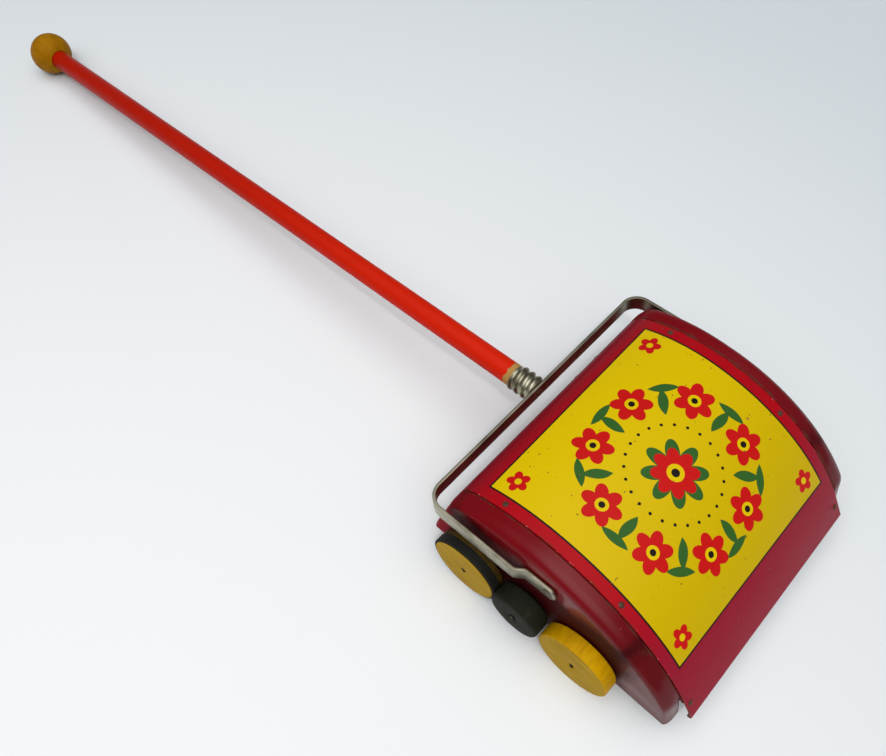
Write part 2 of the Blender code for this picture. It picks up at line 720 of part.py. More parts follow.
def pin_mesh():
    """All the drum's pins: each track has its own notes round the drum."""
    bm = bmesh.new()
    length = 2 * PIN_HEIGHT + DRUM_RADIUS / 4
    middle = DRUM_RADIUS + PIN_HEIGHT - length / 2
    notes = TRACKS * PINS_PER_TRACK
    for track in range(TRACKS):
        for pin in range(PINS_PER_TRACK):
            note = (track * 5 + pin * TRACKS + pin) % notes
            angle = 2 * math.pi * note / notes
            made = bmesh.ops.create_cone(
                bm, cap_ends=True, segments=5, radius1=PIN_RADIUS, radius2=PIN_RADIUS, depth=length
            )
            verts = made["verts"]
            turn = Vector((0, 0, 1)).rotation_difference(Vector((0, math.cos(angle), math.sin(angle))))
            bmesh.ops.rotate(bm, verts=verts, matrix=turn.to_matrix())
            place = middle * direction(angle)
            bmesh.ops.translate(bm, verts=verts, vec=(track_x(track), place.x, place.y))
    return mesh_of("drum_pins", bm)


def make_drum():
    shaft_left = DRUM_LEFT_END - 2 * BRACKET_SHEET - 4 * RUNNING
    shaft_right = GEAR_X + PINION_WIDTH / 2
    radius = DRUM_SHAFT_RADIUS
    shaft = ((0, shaft_right), (radius, shaft_right), (radius, shaft_left), (0, shaft_left))
    turned("drum_shaft", shaft, "steel", DRUM_AXLE, ORIGIN, ALONG_X, steps=SHAFT_STEPS)
    bore = DRUM_SHAFT_RADIUS + SEAT
    right = DRUM_LEFT_END + DRUM_LENGTH
    profile = ((DRUM_RADIUS, right), (DRUM_RADIUS, DRUM_LEFT_END), (bore, DRUM_LEFT_END), (bore, right))
    drum = turned("pinned_drum", profile, "brass", DRUM_AXLE, ORIGIN, ALONG_X, ring=True, steps=24)
    boolean(drum, cutter("drum_pins", pin_mesh(), DRUM_AXLE), "UNION")


# The bracket's cheeks stand either side of the drum, and its back lies on the rear wall: middles of the sheet
CHEEK_LEFT_X = DRUM_LEFT_END - RUNNING - BRACKET_SHEET / 2
CHEEK_RIGHT_X = DRUM_LEFT_END + DRUM_LENGTH + RUNNING + BRACKET_SHEET / 2
BRACKET_INSET = SHEET + RUNNING + BRACKET_SHEET / 2
BRACKET_TOP_Z = CORNER_CENTRE.y + CORNER_RADIUS * math.sin(WALL_FLARE) - BRACKET_DROP
BRACKET_TOP = wall_point(BRACKET_TOP_Z, BRACKET_INSET)
BRACKET_FOOT = BRACKET_TOP + BRACKET_HEIGHT * WALL_DIRECTION
BRACKET_MIDDLE = (BRACKET_TOP + BRACKET_FOOT) / 2
COMB_TIP_Y = DRUM_AXIS.x + DRUM_RADIUS + PIN_HEIGHT + COMB_CLEARANCE
COMB_BACK_Y = COMB_TIP_Y + LONGEST_TOOTH + COMB_BASE
RAIL_TOP_Z = DRUM_AXIS.y - COMB_THICKNESS / 2 - SEAT


def make_bracket():
    """Two cheeks and a back bent from one sheet; each cheek has a boss round the drum shaft."""
    boss = arc(DRUM_AXIS, BOSS_RADIUS, QUARTER, 3 * QUARTER, 8)
    bm = bmesh.new()
    cheeks = []
    for x in (CHEEK_LEFT_X, CHEEK_RIGHT_X):
        cheek = [bm.verts.new((x, p.x, p.y)) for p in [BRACKET_FOOT, BRACKET_TOP] + boss]
        bm.faces.new(cheek)
        cheeks.append(cheek)
    left, right = cheeks
    bm.faces.new((left[0], left[1], right[1], right[0]))
    bmesh.ops.recalc_face_normals(bm, faces=bm.faces)
    bracket = part("drum_bracket", mesh_of("drum_bracket", bm), "steel", SWEEPER)
    thicken(bracket, BRACKET_SHEET, 0)
    hole = cylinder("drum_shaft_hole", DRUM_SHAFT_RADIUS + RUNNING, 4 * DRUM_LENGTH)
    boolean(bracket, cutter("drum_shaft_hole", hole, DRUM_AXLE, (CHEEK_LEFT_X, 0, 0), ALONG_X))
    return bracket


def rivet_bracket(bracket):
    """Two rivets through the rear wall and the bracket's back; returns the holes for the cover."""
    stack = SHEET + RUNNING + BRACKET_SHEET
    holes = []
    sites = (CHEEK_LEFT_X + BRACKET_RIVET_INSET, CHEEK_RIGHT_X - BRACKET_RIVET_INSET)
    for number, x in enumerate(sites, 1):
        outside = BRACKET_MIDDLE + BRACKET_INSET * direction(WALL_FLARE)
        location = (x, outside.x, outside.y)
        rivet(f"bracket_rivet_{number}", location, WALL_FLARE, stack)
        holes.append(rivet_hole(f"bracket_rivet_{number}_hole", location, WALL_FLARE, stack))
    for hole in holes:
        boolean(bracket, hole)
    return holes


def comb_outline():
    """A steel comb seen from above: one tooth to a track, long for low notes and short for high ones."""
    pitch = DRUM_LENGTH / TRACKS
    points = [(DRUM_LEFT_END + DRUM_LENGTH, COMB_BACK_Y), (DRUM_LEFT_END, COMB_BACK_Y)]
    for track in range(TRACKS):
        length = LONGEST_TOOTH + (SHORTEST_TOOTH - LONGEST_TOOTH) * track / (TRACKS - 1)
        root = COMB_TIP_Y + length
        left = DRUM_LEFT_END + track * pitch + COMB_TOOTH_GAP / 2
        right = left + pitch - COMB_TOOTH_GAP
        points += [(left, root), (left, COMB_TIP_Y), (right, COMB_TIP_Y), (right, root)]
    return points


def make_comb():
    """The comb on its rail between the cheeks, held by two screws."""
    middle_x = DRUM_LEFT_END + DRUM_LENGTH / 2
    screw_y = COMB_BACK_Y - COMB_BASE / 2
    comb = part("tone_comb", flat_plate("tone_comb", [comb_outline()], COMB_THICKNESS), "steel", SWEEPER)
    comb.location = (0, 0, DRUM_AXIS.y)
    rail_size = (DRUM_LENGTH, COMB_BASE, RAIL_HEIGHT)
    rail = part("comb_rail", box("comb_rail", rail_size), "steel", SWEEPER)
    rail.location = (middle_x, screw_y, RAIL_TOP_Z - RAIL_HEIGHT / 2)
    head_seat = DRUM_AXIS.y + COMB_THICKNESS / 2 + SEAT
    tip = RAIL_TOP_Z - RAIL_HEIGHT * 0.8
    head = 2 * COMB_SCREW_RADIUS
    shank = COMB_SCREW_RADIUS
    profile = ((0, head_seat + shank), (head, head_seat + shank / 2), (head, head_seat))
    profile += ((shank, head_seat), (shank, tip), (0, tip))
    for number, x in enumerate((middle_x - DRUM_LENGTH / 3, middle_x + DRUM_LENGTH / 3), 1):
        name = f"comb_screw_{number}"
        turned(name, profile, "dark_steel", SWEEPER, (x, screw_y, 0), steps=RIVET_STEPS)
        shape = cylinder(name + "_hole", COMB_SCREW_RADIUS + SEAT, 4 * RAIL_HEIGHT, RIVET_STEPS)
        hole = cutter(name + "_hole", shape, SWEEPER, (x, screw_y, RAIL_TOP_Z))
        boolean(comb, hole)
        boolean(rail, hole)


def strap_path():
    """The right half of the strap's middle line, in the bail's plane, from the pivot to mid-span."""
    steps = 6
    path = [(STRAP_END_X, 0), (STRAP_END_X, JOGGLE_START)]
    for i in range(1, steps + 1):
        share = i / steps
        ease = (1 - math.cos(math.pi * share)) / 2
        path.append((STRAP_END_X + JOGGLE * ease, JOGGLE_START + JOGGLE_LENGTH * share))
    for i in range(steps + 1):
        turn = direction(QUARTER * i / steps)
        corner = (STRAP_ARM_X - BAIL_CORNER, BAIL_LENGTH - BAIL_CORNER)
        path.append((corner[0] + BAIL_CORNER * turn.x, corner[1] + BAIL_CORNER * turn.y))
    return path


def strap_mesh():
    """The strap as a ribbon on edge, with a round end at each pivot."""
    half = strap_path()
    path = half + [(-x, y) for x, y in reversed(half)]
    rows = [[(x, y, z) for x, y in path] for z in (-STRAP_WIDTH / 2, STRAP_WIDTH / 2)]
    bm = loft(rows)
    corners = list(bm.verts)
    count = len(path)
    for low, sign in ((0, 1), (count - 1, -1)):
        end = [corners[low + count]]
        for i in range(1, 8):
            turn = STRAP_WIDTH / 2 * direction(QUARTER + math.pi * i / 8)
            end.append(bm.verts.new((sign * STRAP_END_X, turn.x, turn.y)))
        end.append(corners[low])
        bm.faces.new(end)
    bmesh.ops.recalc_face_normals(bm, faces=bm.faces)
    return mesh_of("bail_strap", bm)


STRAP_BACK = BAIL_LENGTH + STRAP_THICKNESS / 2
STRAP_FRONT = BAIL_LENGTH - STRAP_THICKNESS / 2
COIL_START = STRAP_BACK + RUNNING + WIRE_RADIUS
COIL_END = COIL_START + COIL_TURNS * COIL_PITCH
SHOULDER = COIL_END + WIRE_RADIUS + RUNNING
TENON_RADIUS = COIL_RADIUS - WIRE_RADIUS - RUNNING
TENON_START = STRAP_BACK + RUNNING
BORE_END = REACH - BALL_RADIUS + BALL_BORE_DEPTH


def make_strap(pivot_hole):
    strap = part("bail_strap", strap_mesh(), "steel", BAIL_AXIS)
    thicken(strap, STRAP_THICKNESS, 0)
    boolean(strap, pivot_hole)
    shape = cylinder("socket_screw_hole", SCREW_RADIUS + SEAT, 6 * STRAP_THICKNESS)
    boolean(strap, cutter("socket_screw_hole", shape, BAIL_AXIS, (0, BAIL_LENGTH, 0), ALONG_Y))


def make_pivot_pins():
    """A pin at each end of the strap, riveted flush outside and headed inside the end cap."""
    outside = STRAP_END_X + STRAP_THICKNESS / 2
    head = 1.5 * PIVOT_RADIUS
    head_height = 0.4 * PIVOT_RADIUS
    inside = CAP_INNER_X - RUNNING
    profile = (
        (0, outside + SEAT + head_height),
        (0.7 * head, outside + SEAT + 0.7 * head_height),
        (head, outside + SEAT),
        (PIVOT_RADIUS, outside + SEAT),
        (PIVOT_RADIUS, inside),
        (head, inside),
        (head, inside - 2 * head_height),
        (0, inside - 2 * head_height),
    )
    for side, sign in SIDES.items():
        facing = (0, sign * QUARTER, 0)
        turned(f"{side}_pivot_pin", profile, "steel", BAIL_AXIS, ORIGIN, facing, steps=SHAFT_STEPS)


def coil_points():
    count = COIL_TURNS * COIL_POINTS
    points = []
    for i in range(count + 1):
        turn = COIL_RADIUS * direction(2 * math.pi * i / COIL_POINTS)
        points.append(Vector((turn.x, COIL_START + COIL_PITCH * i / COIL_POINTS, turn.y)))
    return points


def make_coil():
    """The socket spring: one unbroken heavy wire round the handle's tenon."""
    points = coil_points()
    apart = COIL_POINTS // 2
    pairs = [(a, b) for i, a in enumerate(points) for b in points[i + apart :]]
    gap = min((a - b).length for a, b in pairs) - 2 * WIRE_RADIUS
    print(f"socket spring: least gap between turns {gap / MM:.2f} mm")
    curve = bpy.data.curves.new("socket_spring", "CURVE")
    curve.dimensions = "3D"
    curve.bevel_depth = WIRE_RADIUS
    curve.bevel_resolution = 1
    curve.use_fill_caps = True
    spline = curve.splines.new("POLY")
    spline.points.add(len(points) - 1)
    for point, place in zip(spline.points, points):
        point.co = (*place, 1)
    part("socket_spring", curve, "steel", BAIL_AXIS)


def make_socket_screw():
    """The screw through the strap into the tenon, with its head on the strap's front face."""
    head_top = STRAP_FRONT - SEAT - SCREW_RADIUS
    tip = TENON_START + SCREW_LENGTH
    profile = (
        (0, tip),
        (SCREW_RADIUS * 0.5, tip),
        (SCREW_RADIUS, tip - 2 * SCREW_RADIUS),
        (SCREW_RADIUS, STRAP_FRONT - SEAT),
        (SCREW_HEAD_RADIUS, STRAP_FRONT - SEAT),
        (SCREW_HEAD_RADIUS * 0.7, head_top + SCREW_RADIUS * 0.3),
        (0, head_top),
    )
    turned("socket_screw", profile, "dark_steel", BAIL_AXIS, ORIGIN, ALONG_Y, steps=SHAFT_STEPS)


def make_rod():
    pilot = SCREW_RADIUS + SEAT
    pilot_end = TENON_START + SCREW_LENGTH + RUNNING
    end = BORE_END - RUNNING
    profile = (
        (0, end),
        (ROD_RADIUS, end),
        (ROD_RADIUS, SHOULDER),
        (TENON_RADIUS, SHOULDER),
        (TENON_RADIUS, TENON_START),
        (pilot, TENON_START),
        (pilot, pilot_end),
        (0, pilot_end),
    )
    turned("handle_rod", profile, "red_wood", BAIL_AXIS, ORIGIN, ALONG_Y, steps=32)


def make_ball():
    """The ball on the handle's end, bored for the rod."""
    bore = ROD_RADIUS + SEAT
    mouth = math.pi - math.asin(bore / BALL_RADIUS)
    steps = 12
    profile = []
    for i in range(steps + 1):
        turn = mouth * i / steps
        profile.append((BALL_RADIUS * math.sin(turn), REACH + BALL_RADIUS * math.cos(turn)))
    profile += [(bore, BORE_END), (0, BORE_END)]
    turned("handle_ball", profile, "yellow_wood", BAIL_AXIS, ORIGIN, ALONG_Y, steps=32)


def make_sweeper():
    pivot_hole = bore_through_caps("pivot_bore", PIVOT_RADIUS, BAIL_AXIS)
    cap_bores = [
        bore_through_caps("front_axle_bore", AXLE_RADIUS, FRONT_AXIS),
        bore_through_caps("rear_axle_bore", AXLE_RADIUS, REAR_AXIS),
        bore_through_caps("brush_shaft_bore", AXLE_RADIUS, BRUSH_AXIS),
        pivot_hole,
    ]
    rivet_holes = make_cover_rivets()
    bracket = make_bracket()
    make_cover(rivet_holes["left"] + rivet_holes["right"] + rivet_bracket(bracket))
    for side, sign in SIDES.items():
        make_cap(side, sign, rivet_holes[side] + cap_bores)
    make_trays()
    make_front_wheels()
    make_rear_wheels()
    make_rollers()
    make_brush()
    make_gears()
    make_drum()
    make_comb()
    make_strap(pivot_hole)
    make_pivot_pins()
    make_coil()
    make_socket_screw()
    make_rod()
    make_ball()


make_sweeper()
bpy.context.view_layer.update()
for axis in (FRONT_AXIS, REAR_AXIS, BRUSH_AXIS, DRUM_AXLE, BAIL_AXIS):
    print(axis.name, "at", [round(value / MM, 2) for value in axis.matrix_world.translation], "mm")
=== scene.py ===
# %% [markdown]
# # A toy carpet sweeper in tin, wood and steel
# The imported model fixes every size, place and joint of the toy. This lesson gives it the finer shapes
# and the finishes of the real thing, one piece at a time. Each new piece takes the place of a plain
# solid and rides on the body that carried it, so the joints still work.

# %% Load the frame
import json
import math
import random

import bmesh
import bpy
from mathutils import Matrix, Vector


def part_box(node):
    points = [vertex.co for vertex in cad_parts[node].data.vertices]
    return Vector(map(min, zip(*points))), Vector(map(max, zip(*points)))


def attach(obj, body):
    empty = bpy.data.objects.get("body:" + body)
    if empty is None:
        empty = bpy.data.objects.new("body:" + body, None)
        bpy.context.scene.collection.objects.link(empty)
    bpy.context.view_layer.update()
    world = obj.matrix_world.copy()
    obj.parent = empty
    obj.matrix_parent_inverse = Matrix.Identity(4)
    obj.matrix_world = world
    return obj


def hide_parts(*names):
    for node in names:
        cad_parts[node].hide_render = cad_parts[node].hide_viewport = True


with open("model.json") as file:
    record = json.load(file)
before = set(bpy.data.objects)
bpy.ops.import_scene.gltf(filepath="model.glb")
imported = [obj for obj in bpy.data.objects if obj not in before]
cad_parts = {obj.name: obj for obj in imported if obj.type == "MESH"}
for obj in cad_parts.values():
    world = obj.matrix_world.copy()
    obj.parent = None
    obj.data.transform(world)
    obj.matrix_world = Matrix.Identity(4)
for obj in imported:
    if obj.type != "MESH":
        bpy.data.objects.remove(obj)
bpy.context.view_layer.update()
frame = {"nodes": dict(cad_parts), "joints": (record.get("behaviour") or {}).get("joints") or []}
SCENE = bpy.context.scene
MM = 0.001
QUARTER = math.pi / 2
FULL_TURN = 2 * math.pi
PIVOTS = {joint["name"]: Vector(joint["pos_m"]) for joint in frame["joints"]}
BODY_Y = (PIVOTS["front_axle_spin"].y + PIVOTS["rear_axle_spin"].y) / 2

# %% [markdown]
# ## The camera
# The photograph looks down on the toy from its front left corner. A camera can be aimed at a point by
# eye, but here its place, its angles and its focal length were worked out from things of known shape:
# round wheels, a straight handle and a rectangular panel. The lens is that focal length in pixels,
# turned into millimetres.

# %% Camera
PHOTO_WIDTH_PIXELS = 886
FOCAL_LENGTH_PIXELS = 854.83
SENSOR_WIDTH = 36
CAMERA_AZIMUTH = math.radians(-47.31)
CAMERA_ELEVATION = math.radians(58.165)
CAMERA_ROLL = math.radians(0.234)
CAMERA_PLACE = Vector((-199.7 * MM, BODY_Y - 55.1 * MM, 430.3 * MM))
CAMERA_NEAREST = 10 * MM

SCENE.view_settings.view_transform = "Standard"
camera_lens = bpy.data.cameras.new("camera")
camera_lens.sensor_width = SENSOR_WIDTH
camera_lens.lens = FOCAL_LENGTH_PIXELS / PHOTO_WIDTH_PIXELS * SENSOR_WIDTH
camera_lens.clip_start = CAMERA_NEAREST
camera = bpy.data.objects.new("camera", camera_lens)
SCENE.collection.objects.link(camera)
camera_turn = Matrix.Rotation(CAMERA_AZIMUTH, 4, "Z")
camera_turn = camera_turn @ Matrix.Rotation(QUARTER - CAMERA_ELEVATION, 4, "X")
camera_turn = camera_turn @ Matrix.Rotation(CAMERA_ROLL, 4, "Z")
camera.matrix_world = Matrix.Translation(CAMERA_PLACE) @ camera_turn
SCENE.camera = camera
print("camera lens:", round(camera_lens.lens, 2), "mm")

# %% [markdown]
# ## Wires for the finishes
# A finish is a small network of nodes. Adding each node by hand makes long code, so one class wraps a
# socket: arithmetic on it adds Math nodes, and its `node` method adds anything else. A finish then
# reads like a formula.


# %% The wire class
class Wire:
    """A socket in a node tree. Arithmetic on wires adds Math nodes."""

    def __init__(self, tree, socket):
        self.tree = tree
        self.socket = socket

    def node(self, kind, settings=None, inputs=None, output=0):
        """Adds any node: its settings first, then the values or links of its sockets."""
        made = self.tree.nodes.new("ShaderNode" + kind)
        for name, value in (settings or {}).items():
            setattr(made, name, value)
        for name, value in (inputs or {}).items():
            self.feed(made.inputs[name], value)
        return Wire(self.tree, made.outputs[output])

    def feed(self, socket, value):
        if isinstance(value, Wire):
            self.tree.links.new(value.socket, socket)
        else:
            socket.default_value = value

    def math(self, operation, *values):
        return self.node("Math", {"operation": operation}, dict(enumerate(values)))

    def parts(self):
        made = self.node("SeparateXYZ", {}, {0: self})
        return [Wire(self.tree, output) for output in made.socket.node.outputs]

    def ramp(self, low, high):
        """A smooth step from 0 at low to 1 at high."""
        inputs = {"Value": self, "From Min": low, "From Max": high}
        return self.node("MapRange", {"interpolation_type": "SMOOTHSTEP"}, inputs)

    def __add__(self, other):
        return self.math("ADD", self, other)

    def __radd__(self, other):
        return self.math("ADD", other, self)

    def __sub__(self, other):
        return self.math("SUBTRACT", self, other)

    def __rsub__(self, other):
        return self.math("SUBTRACT", other, self)

    def __mul__(self, other):
        return self.math("MULTIPLY", self, other)

    def __rmul__(self, other):
        return self.math("MULTIPLY", other, self)

    def __truediv__(self, other):
        return self.math("DIVIDE", self, other)

    def __rtruediv__(self, other):
        return self.math("DIVIDE", other, self)

    def __pow__(self, other):
        return self.math("POWER", self, other)

    def __abs__(self):
        return self.math("ABSOLUTE", self)


print("wires ready")


# %% Colours, noise and materials
def paint(red, green, blue):
    """A colour as read off a screen, 0 to 255, in the linear values that a shader takes."""
    linear = []
    for value in (red, green, blue):
        share = value / 255
        linear.append(share / 12.92 if share <= 0.04045 else ((share + 0.055) / 1.055) ** 2.4)
    return (*linear, 1)


def blend(first, second, share):
    """A colour from first to second as share goes from 0 to 1."""
    return share.node("Mix", {"data_type": "RGBA"}, {0: share, 6: first, 7: second}, output=2)


def noise(place, scale, detail=3, stretch=(1, 1, 1)):
    """Cloudy noise; scale counts its blobs in a metre, and stretch draws them out or squeezes them."""
    drawn = place.node("VectorMath", {"operation": "MULTIPLY"}, {0: place, 1: stretch})
    return place.node("TexNoise", {}, {"Vector": drawn, "Scale": scale, "Detail": detail})


def bumped(height, depth, strength=1):
    return height.node("Bump", {}, {"Strength": strength, "Distance": depth, "Height": height})


def new_finish(name):
    """A material, and a wire of the coordinates of the piece that has it, in metres."""
    material = bpy.data.materials.new(name)
    material.use_nodes = True
    tree = material.node_tree
    coordinates = tree.nodes.new("ShaderNodeTexCoord")
    return material, Wire(tree, coordinates.outputs["Object"])


def finished(material, place, colour, rough, **others):
    """Feeds the material's shader, and gives the material back."""
    sockets = material.node_tree.nodes["Principled BSDF"].inputs
    values = {"Base Color": colour, "Roughness": rough, **others}
    for name, value in values.items():
        place.feed(sockets[name.replace("_", " ")], value)
    return material


print("middle grey of a screen:", round(paint(128, 128, 128)[0], 3))

# %% [markdown]
# ## Paper
# The toy lies on white paper. The light on it is brightest near its front left and dimmer further out,
# and that fall of light is painted into the paper's colour, which fades with the distance from a bright
# spot: one flat colour would look like a cut-out.
# Far out the paper rises in a round cove, so a low view has a pale background too. Only the camera sees
# the cove, and the light on the toy stays the same. Its side view is a short chain of edges, spun about
# the middle.


# %% Paper floor and cove
FLOOR_HALF = 4
COVE_START = 2.4
COVE_RADIUS = 1.5
COVE_TOP = 3
COVE_STEPS = 24
ROUND_STEPS = 96
# Painted light: the paper's colour is lighter near a bright spot and dimmer far from it.
PAPER_PAINTED_LIGHT = paint(243, 246, 248)
PAPER_PAINTED_DIM = paint(205, 213, 219)
PAINTED_LIGHT_SPOT = Vector((-0.38, BODY_Y + 0.1))
PAINTED_LIGHT_REACH = 0.1
PAINTED_DIM_REACH = 0.95


def reach(along, across):
    """The distance from the middle, from the distances along and across."""
    return (along * along + across * across) ** 0.5


def paper():
    material, place = new_finish("white_paper")
    x, y, _ = place.parts()
    fibres = noise(place, 900, 2)
    # painted light: the colour fades from the lit spot outwards
    far = reach(x - PAINTED_LIGHT_SPOT.x, y - PAINTED_LIGHT_SPOT.y).ramp(PAINTED_LIGHT_REACH, PAINTED_DIM_REACH)
    colour = blend(PAPER_PAINTED_LIGHT, PAPER_PAINTED_DIM, far + (fibres - 0.5) * 0.06)
    normal = bumped(fibres, 0.02 * MM)
    return finished(material, place, colour, 0.9, Normal=normal, Specular_IOR_Level=0.2)


def edge_chain(bm, points):
    """Makes a vertex at each point and an edge from each to the next."""
    chain = [bm.verts.new(point) for point in points]
    edges = [bm.edges.new(pair) for pair in zip(chain, chain[1:])]
    return chain, edges


def full_spin(bm, centre, axis, steps):
    """Turns all that is drawn once round an axis, and joins the end to the start."""
    everything = bm.verts[:] + bm.edges[:]
    bmesh.ops.spin(
        bm, geom=everything, cent=centre, axis=axis, angle=FULL_TURN, steps=steps, use_merge=True
    )


def cove_sweep():
    """The paper's rise round the floor: a bend and a short wall."""
    rise = []
    for i in range(COVE_STEPS + 1):
        turn = QUARTER * i / COVE_STEPS
        rise.append((COVE_START + COVE_RADIUS * math.sin(turn), 0, COVE_RADIUS * (1 - math.cos(turn))))
    rise.append((COVE_START + COVE_RADIUS, 0, COVE_TOP))
    bm = bmesh.new()
    edge_chain(bm, rise)
    full_spin(bm, (0, 0, 0), (0, 0, 1), ROUND_STEPS)
    bmesh.ops.recalc_face_normals(bm, faces=bm.faces)
    return bm


def sheet_of_paper(name, bm):
    mesh = bpy.data.meshes.new(name)
    bm.to_mesh(mesh)
    bm.free()
    mesh.materials.append(PAPER)
    mesh.shade_smooth()
    made = bpy.data.objects.new(name, mesh)
    SCENE.collection.objects.link(made)
    return made


PAPER = paper()
floor_mesh = bmesh.new()
bmesh.ops.create_grid(floor_mesh, x_segments=1, y_segments=1, size=FLOOR_HALF)
sheet_of_paper("floor", floor_mesh)
cove = sheet_of_paper("cove", cove_sweep())
cove.visible_diffuse = False
cove.visible_glossy = False
cove.visible_transmission = False
cove.visible_shadow = False
print("cove:", len(cove.data.polygons), "faces")

# %% [markdown]
# ## Light
# The light in the photograph is even and comes mostly from straight above. A studio could be built with
# many lamps, but a sky that fades from a bright crown to a dim rim and a single small lamp are enough:
# the sky shapes the round forms, and the lamp leaves a faint narrow shadow beside the handle.

# %% Sky and lamp
SKY_DIM = (0.15, 0.155, 0.16, 1)
SKY_BRIGHT = (2.24, 2.22, 2.19, 1)
SKY_AXIS = Vector((-0.18, -0.1, 0.98)).normalized()
SKY_DIM_FROM = 0.6
TOY_MIDDLE = Vector((0, BODY_Y + 60 * MM, 30 * MM))
LAMP_PLACE = TOY_MIDDLE + Vector((-0.745, -0.67, 2))
LAMP_SIZE = 0.16
LAMP_WATTS = 8


def soft_sky():
    """A sky that is bright round its axis and dim low down."""
    sky = bpy.data.worlds.new("soft sky")
    sky.use_nodes = True
    tree = sky.node_tree
    towards = Wire(tree, tree.nodes.new("ShaderNodeTexCoord").outputs["Generated"])
    facing = towards.node("VectorMath", {"operation": "DOT_PRODUCT"}, {0: towards, 1: SKY_AXIS}, "Value")
    colour = blend(SKY_DIM, SKY_BRIGHT, facing.ramp(SKY_DIM_FROM, 1))
    towards.feed(tree.nodes["Background"].inputs["Color"], colour)
    return sky


def front_lamp():
    lamp = bpy.data.lights.new("front lamp", "AREA")
    lamp.shape = "DISK"
    lamp.size = LAMP_SIZE
    lamp.energy = LAMP_WATTS
    made = bpy.data.objects.new("front lamp", lamp)
    SCENE.collection.objects.link(made)
    made.location = LAMP_PLACE
    made.rotation_euler = (TOY_MIDDLE - LAMP_PLACE).to_track_quat("-Z", "Y").to_euler()
    made.visible_glossy = False


SCENE.world = soft_sky()
front_lamp()
print("lamp:", round((LAMP_PLACE - TOY_MIDDLE).length, 2), "m from the toy")

# %% [markdown]
# ## Making a piece
# Every piece is a bmesh that operators shape: a profile is spun, an edge is extruded, a sharp rim is
# bevelled. The helpers below hold the few moves that come back again and again, and hand the finished
# mesh to the frame.


# %% Helpers for pieces
SMOOTH_UNDER = math.radians(38)
MERGE_WITHIN = 0.001 * MM


def place_piece(name, bm, finishes, body, nodes):
    """Makes the mesh an object that rides on a body and stands for the nodes it refines."""
    mesh = bpy.data.meshes.new(name)
    bm.to_mesh(mesh)
    bm.free()
    for finish in finishes:
        mesh.materials.append(finish)
    mesh.shade_smooth()
    mesh.set_sharp_from_angle(angle=SMOOTH_UNDER)
    piece = bpy.data.objects.new(name, mesh)
    SCENE.collection.objects.link(piece)
    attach(piece, body)
    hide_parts(*nodes)
    print(f"{name}: {len(mesh.polygons)} faces")
    return piece


def spun(profile, start, along, steps=ROUND_STEPS):
    """Spins a chain of (radius, distance) points about the axis through start."""
    bm = bmesh.new()
    out = Vector((0, 0, 1)) if abs(along.x) > 0.5 else Vector((1, 0, 0))
    out = (out - out.dot(along) * along).normalized()
    edge_chain(bm, [start + along * distance + out * radius for radius, distance in profile])
    full_spin(bm, start, along, steps)
    bmesh.ops.remove_doubles(bm, verts=bm.verts, dist=MERGE_WITHIN)
    bmesh.ops.recalc_face_normals(bm, faces=bm.faces)
    return bm


def soften(bm, width, segments=3, least=math.radians(30)):
    """Rounds every edge that is sharper than least."""
    sharp = [edge for edge in bm.edges if len(edge.link_faces) == 2 and edge.calc_face_angle() > least]
    bmesh.ops.bevel(
        bm, geom=sharp, offset=width, segments=segments, profile=0.5, affect="EDGES", material=-1,
        clamp_overlap=True
    )


def solidify(piece, thickness, offset, inner_finish=0):
    sheet = piece.modifiers.new("sheet", "SOLIDIFY")
    sheet.thickness = thickness
    sheet.offset = offset
    sheet.use_even_offset = True
    sheet.material_offset = inner_finish


def round_edges(piece, width, segments=3, least=math.radians(45)):
    rounded = piece.modifiers.new("edges", "BEVEL")
    rounded.width = width
    rounded.segments = segments
    rounded.limit_method = "ANGLE"
    rounded.angle_limit = least
    rounded.harden_normals = False


print("edges smooth under", round(math.degrees(SMOOTH_UNDER)), "degrees")

# %% [markdown]
# ## Side outline of the body
# Cover and end caps are pressed to one side outline: a low dome that falls in a long curve to the front
# lip and turns down more tightly at the back. It could be drawn freehand, but a chain of arcs that meet
# smoothly is what the press tool would have, and it gives the run along the sheet that the print needs.


# %% Arcs of the outline
SHEET = 0.7 * MM
SEAT = 0.15 * MM
COVER_HALF_WIDTH = 68 * MM
BODY_BOTTOM = 15.5 * MM
CROWN = Vector((BODY_Y + 4 * MM, 73 * MM))
FRONT_RADIUS = 104 * MM
FRONT_SWEEP = math.radians(56)
FRONT_STEPS = 36
NOSE_SWEEP = math.radians(51)
NOSE_RADIUS = 12 * MM
NOSE_STEPS = 8
LIP_LENGTH = 11 * MM
HEM_RADIUS = 1.6 * MM
HEM_SWEEP = math.radians(150)
HEM_STEPS = 12
REAR_RADIUS = 90 * MM
REAR_SWEEP = math.radians(27.1)
REAR_STEPS = 16
CORNER_RADIUS = 17.6 * MM
CORNER_STEPS = 14
WALL_FLARE = math.radians(13.5)


def side(angle):
    """A unit step in the side view, as (y, z), from backwards towards up."""
    return Vector((math.cos(angle), math.sin(angle)))


def arc(centre, radius, start, end, steps, end_radius=None):
    """Points on an arc, which winds in or out along the way if it has an end radius."""
    growth = 0 if end_radius is None else end_radius - radius
    points = []
    for i in range(steps + 1):
        share = i / steps
        points.append(centre + (radius + growth * share) * side(start + (end - start) * share))
    return points


FRONT_END = QUARTER + FRONT_SWEEP
NOSE_END = QUARTER + NOSE_SWEEP
REAR_END = QUARTER - REAR_SWEEP
NOSE_WALL = math.pi - WALL_FLARE
FRONT_CENTRE = CROWN - Vector((0, FRONT_RADIUS))
REAR_CENTRE = CROWN - Vector((0, REAR_RADIUS))
CORNER_CENTRE = REAR_CENTRE + (REAR_RADIUS - CORNER_RADIUS) * side(REAR_END)
print("rear corner:", round((CORNER_CENTRE.x + CORNER_RADIUS - BODY_Y) / MM, 1), "mm behind the middle")

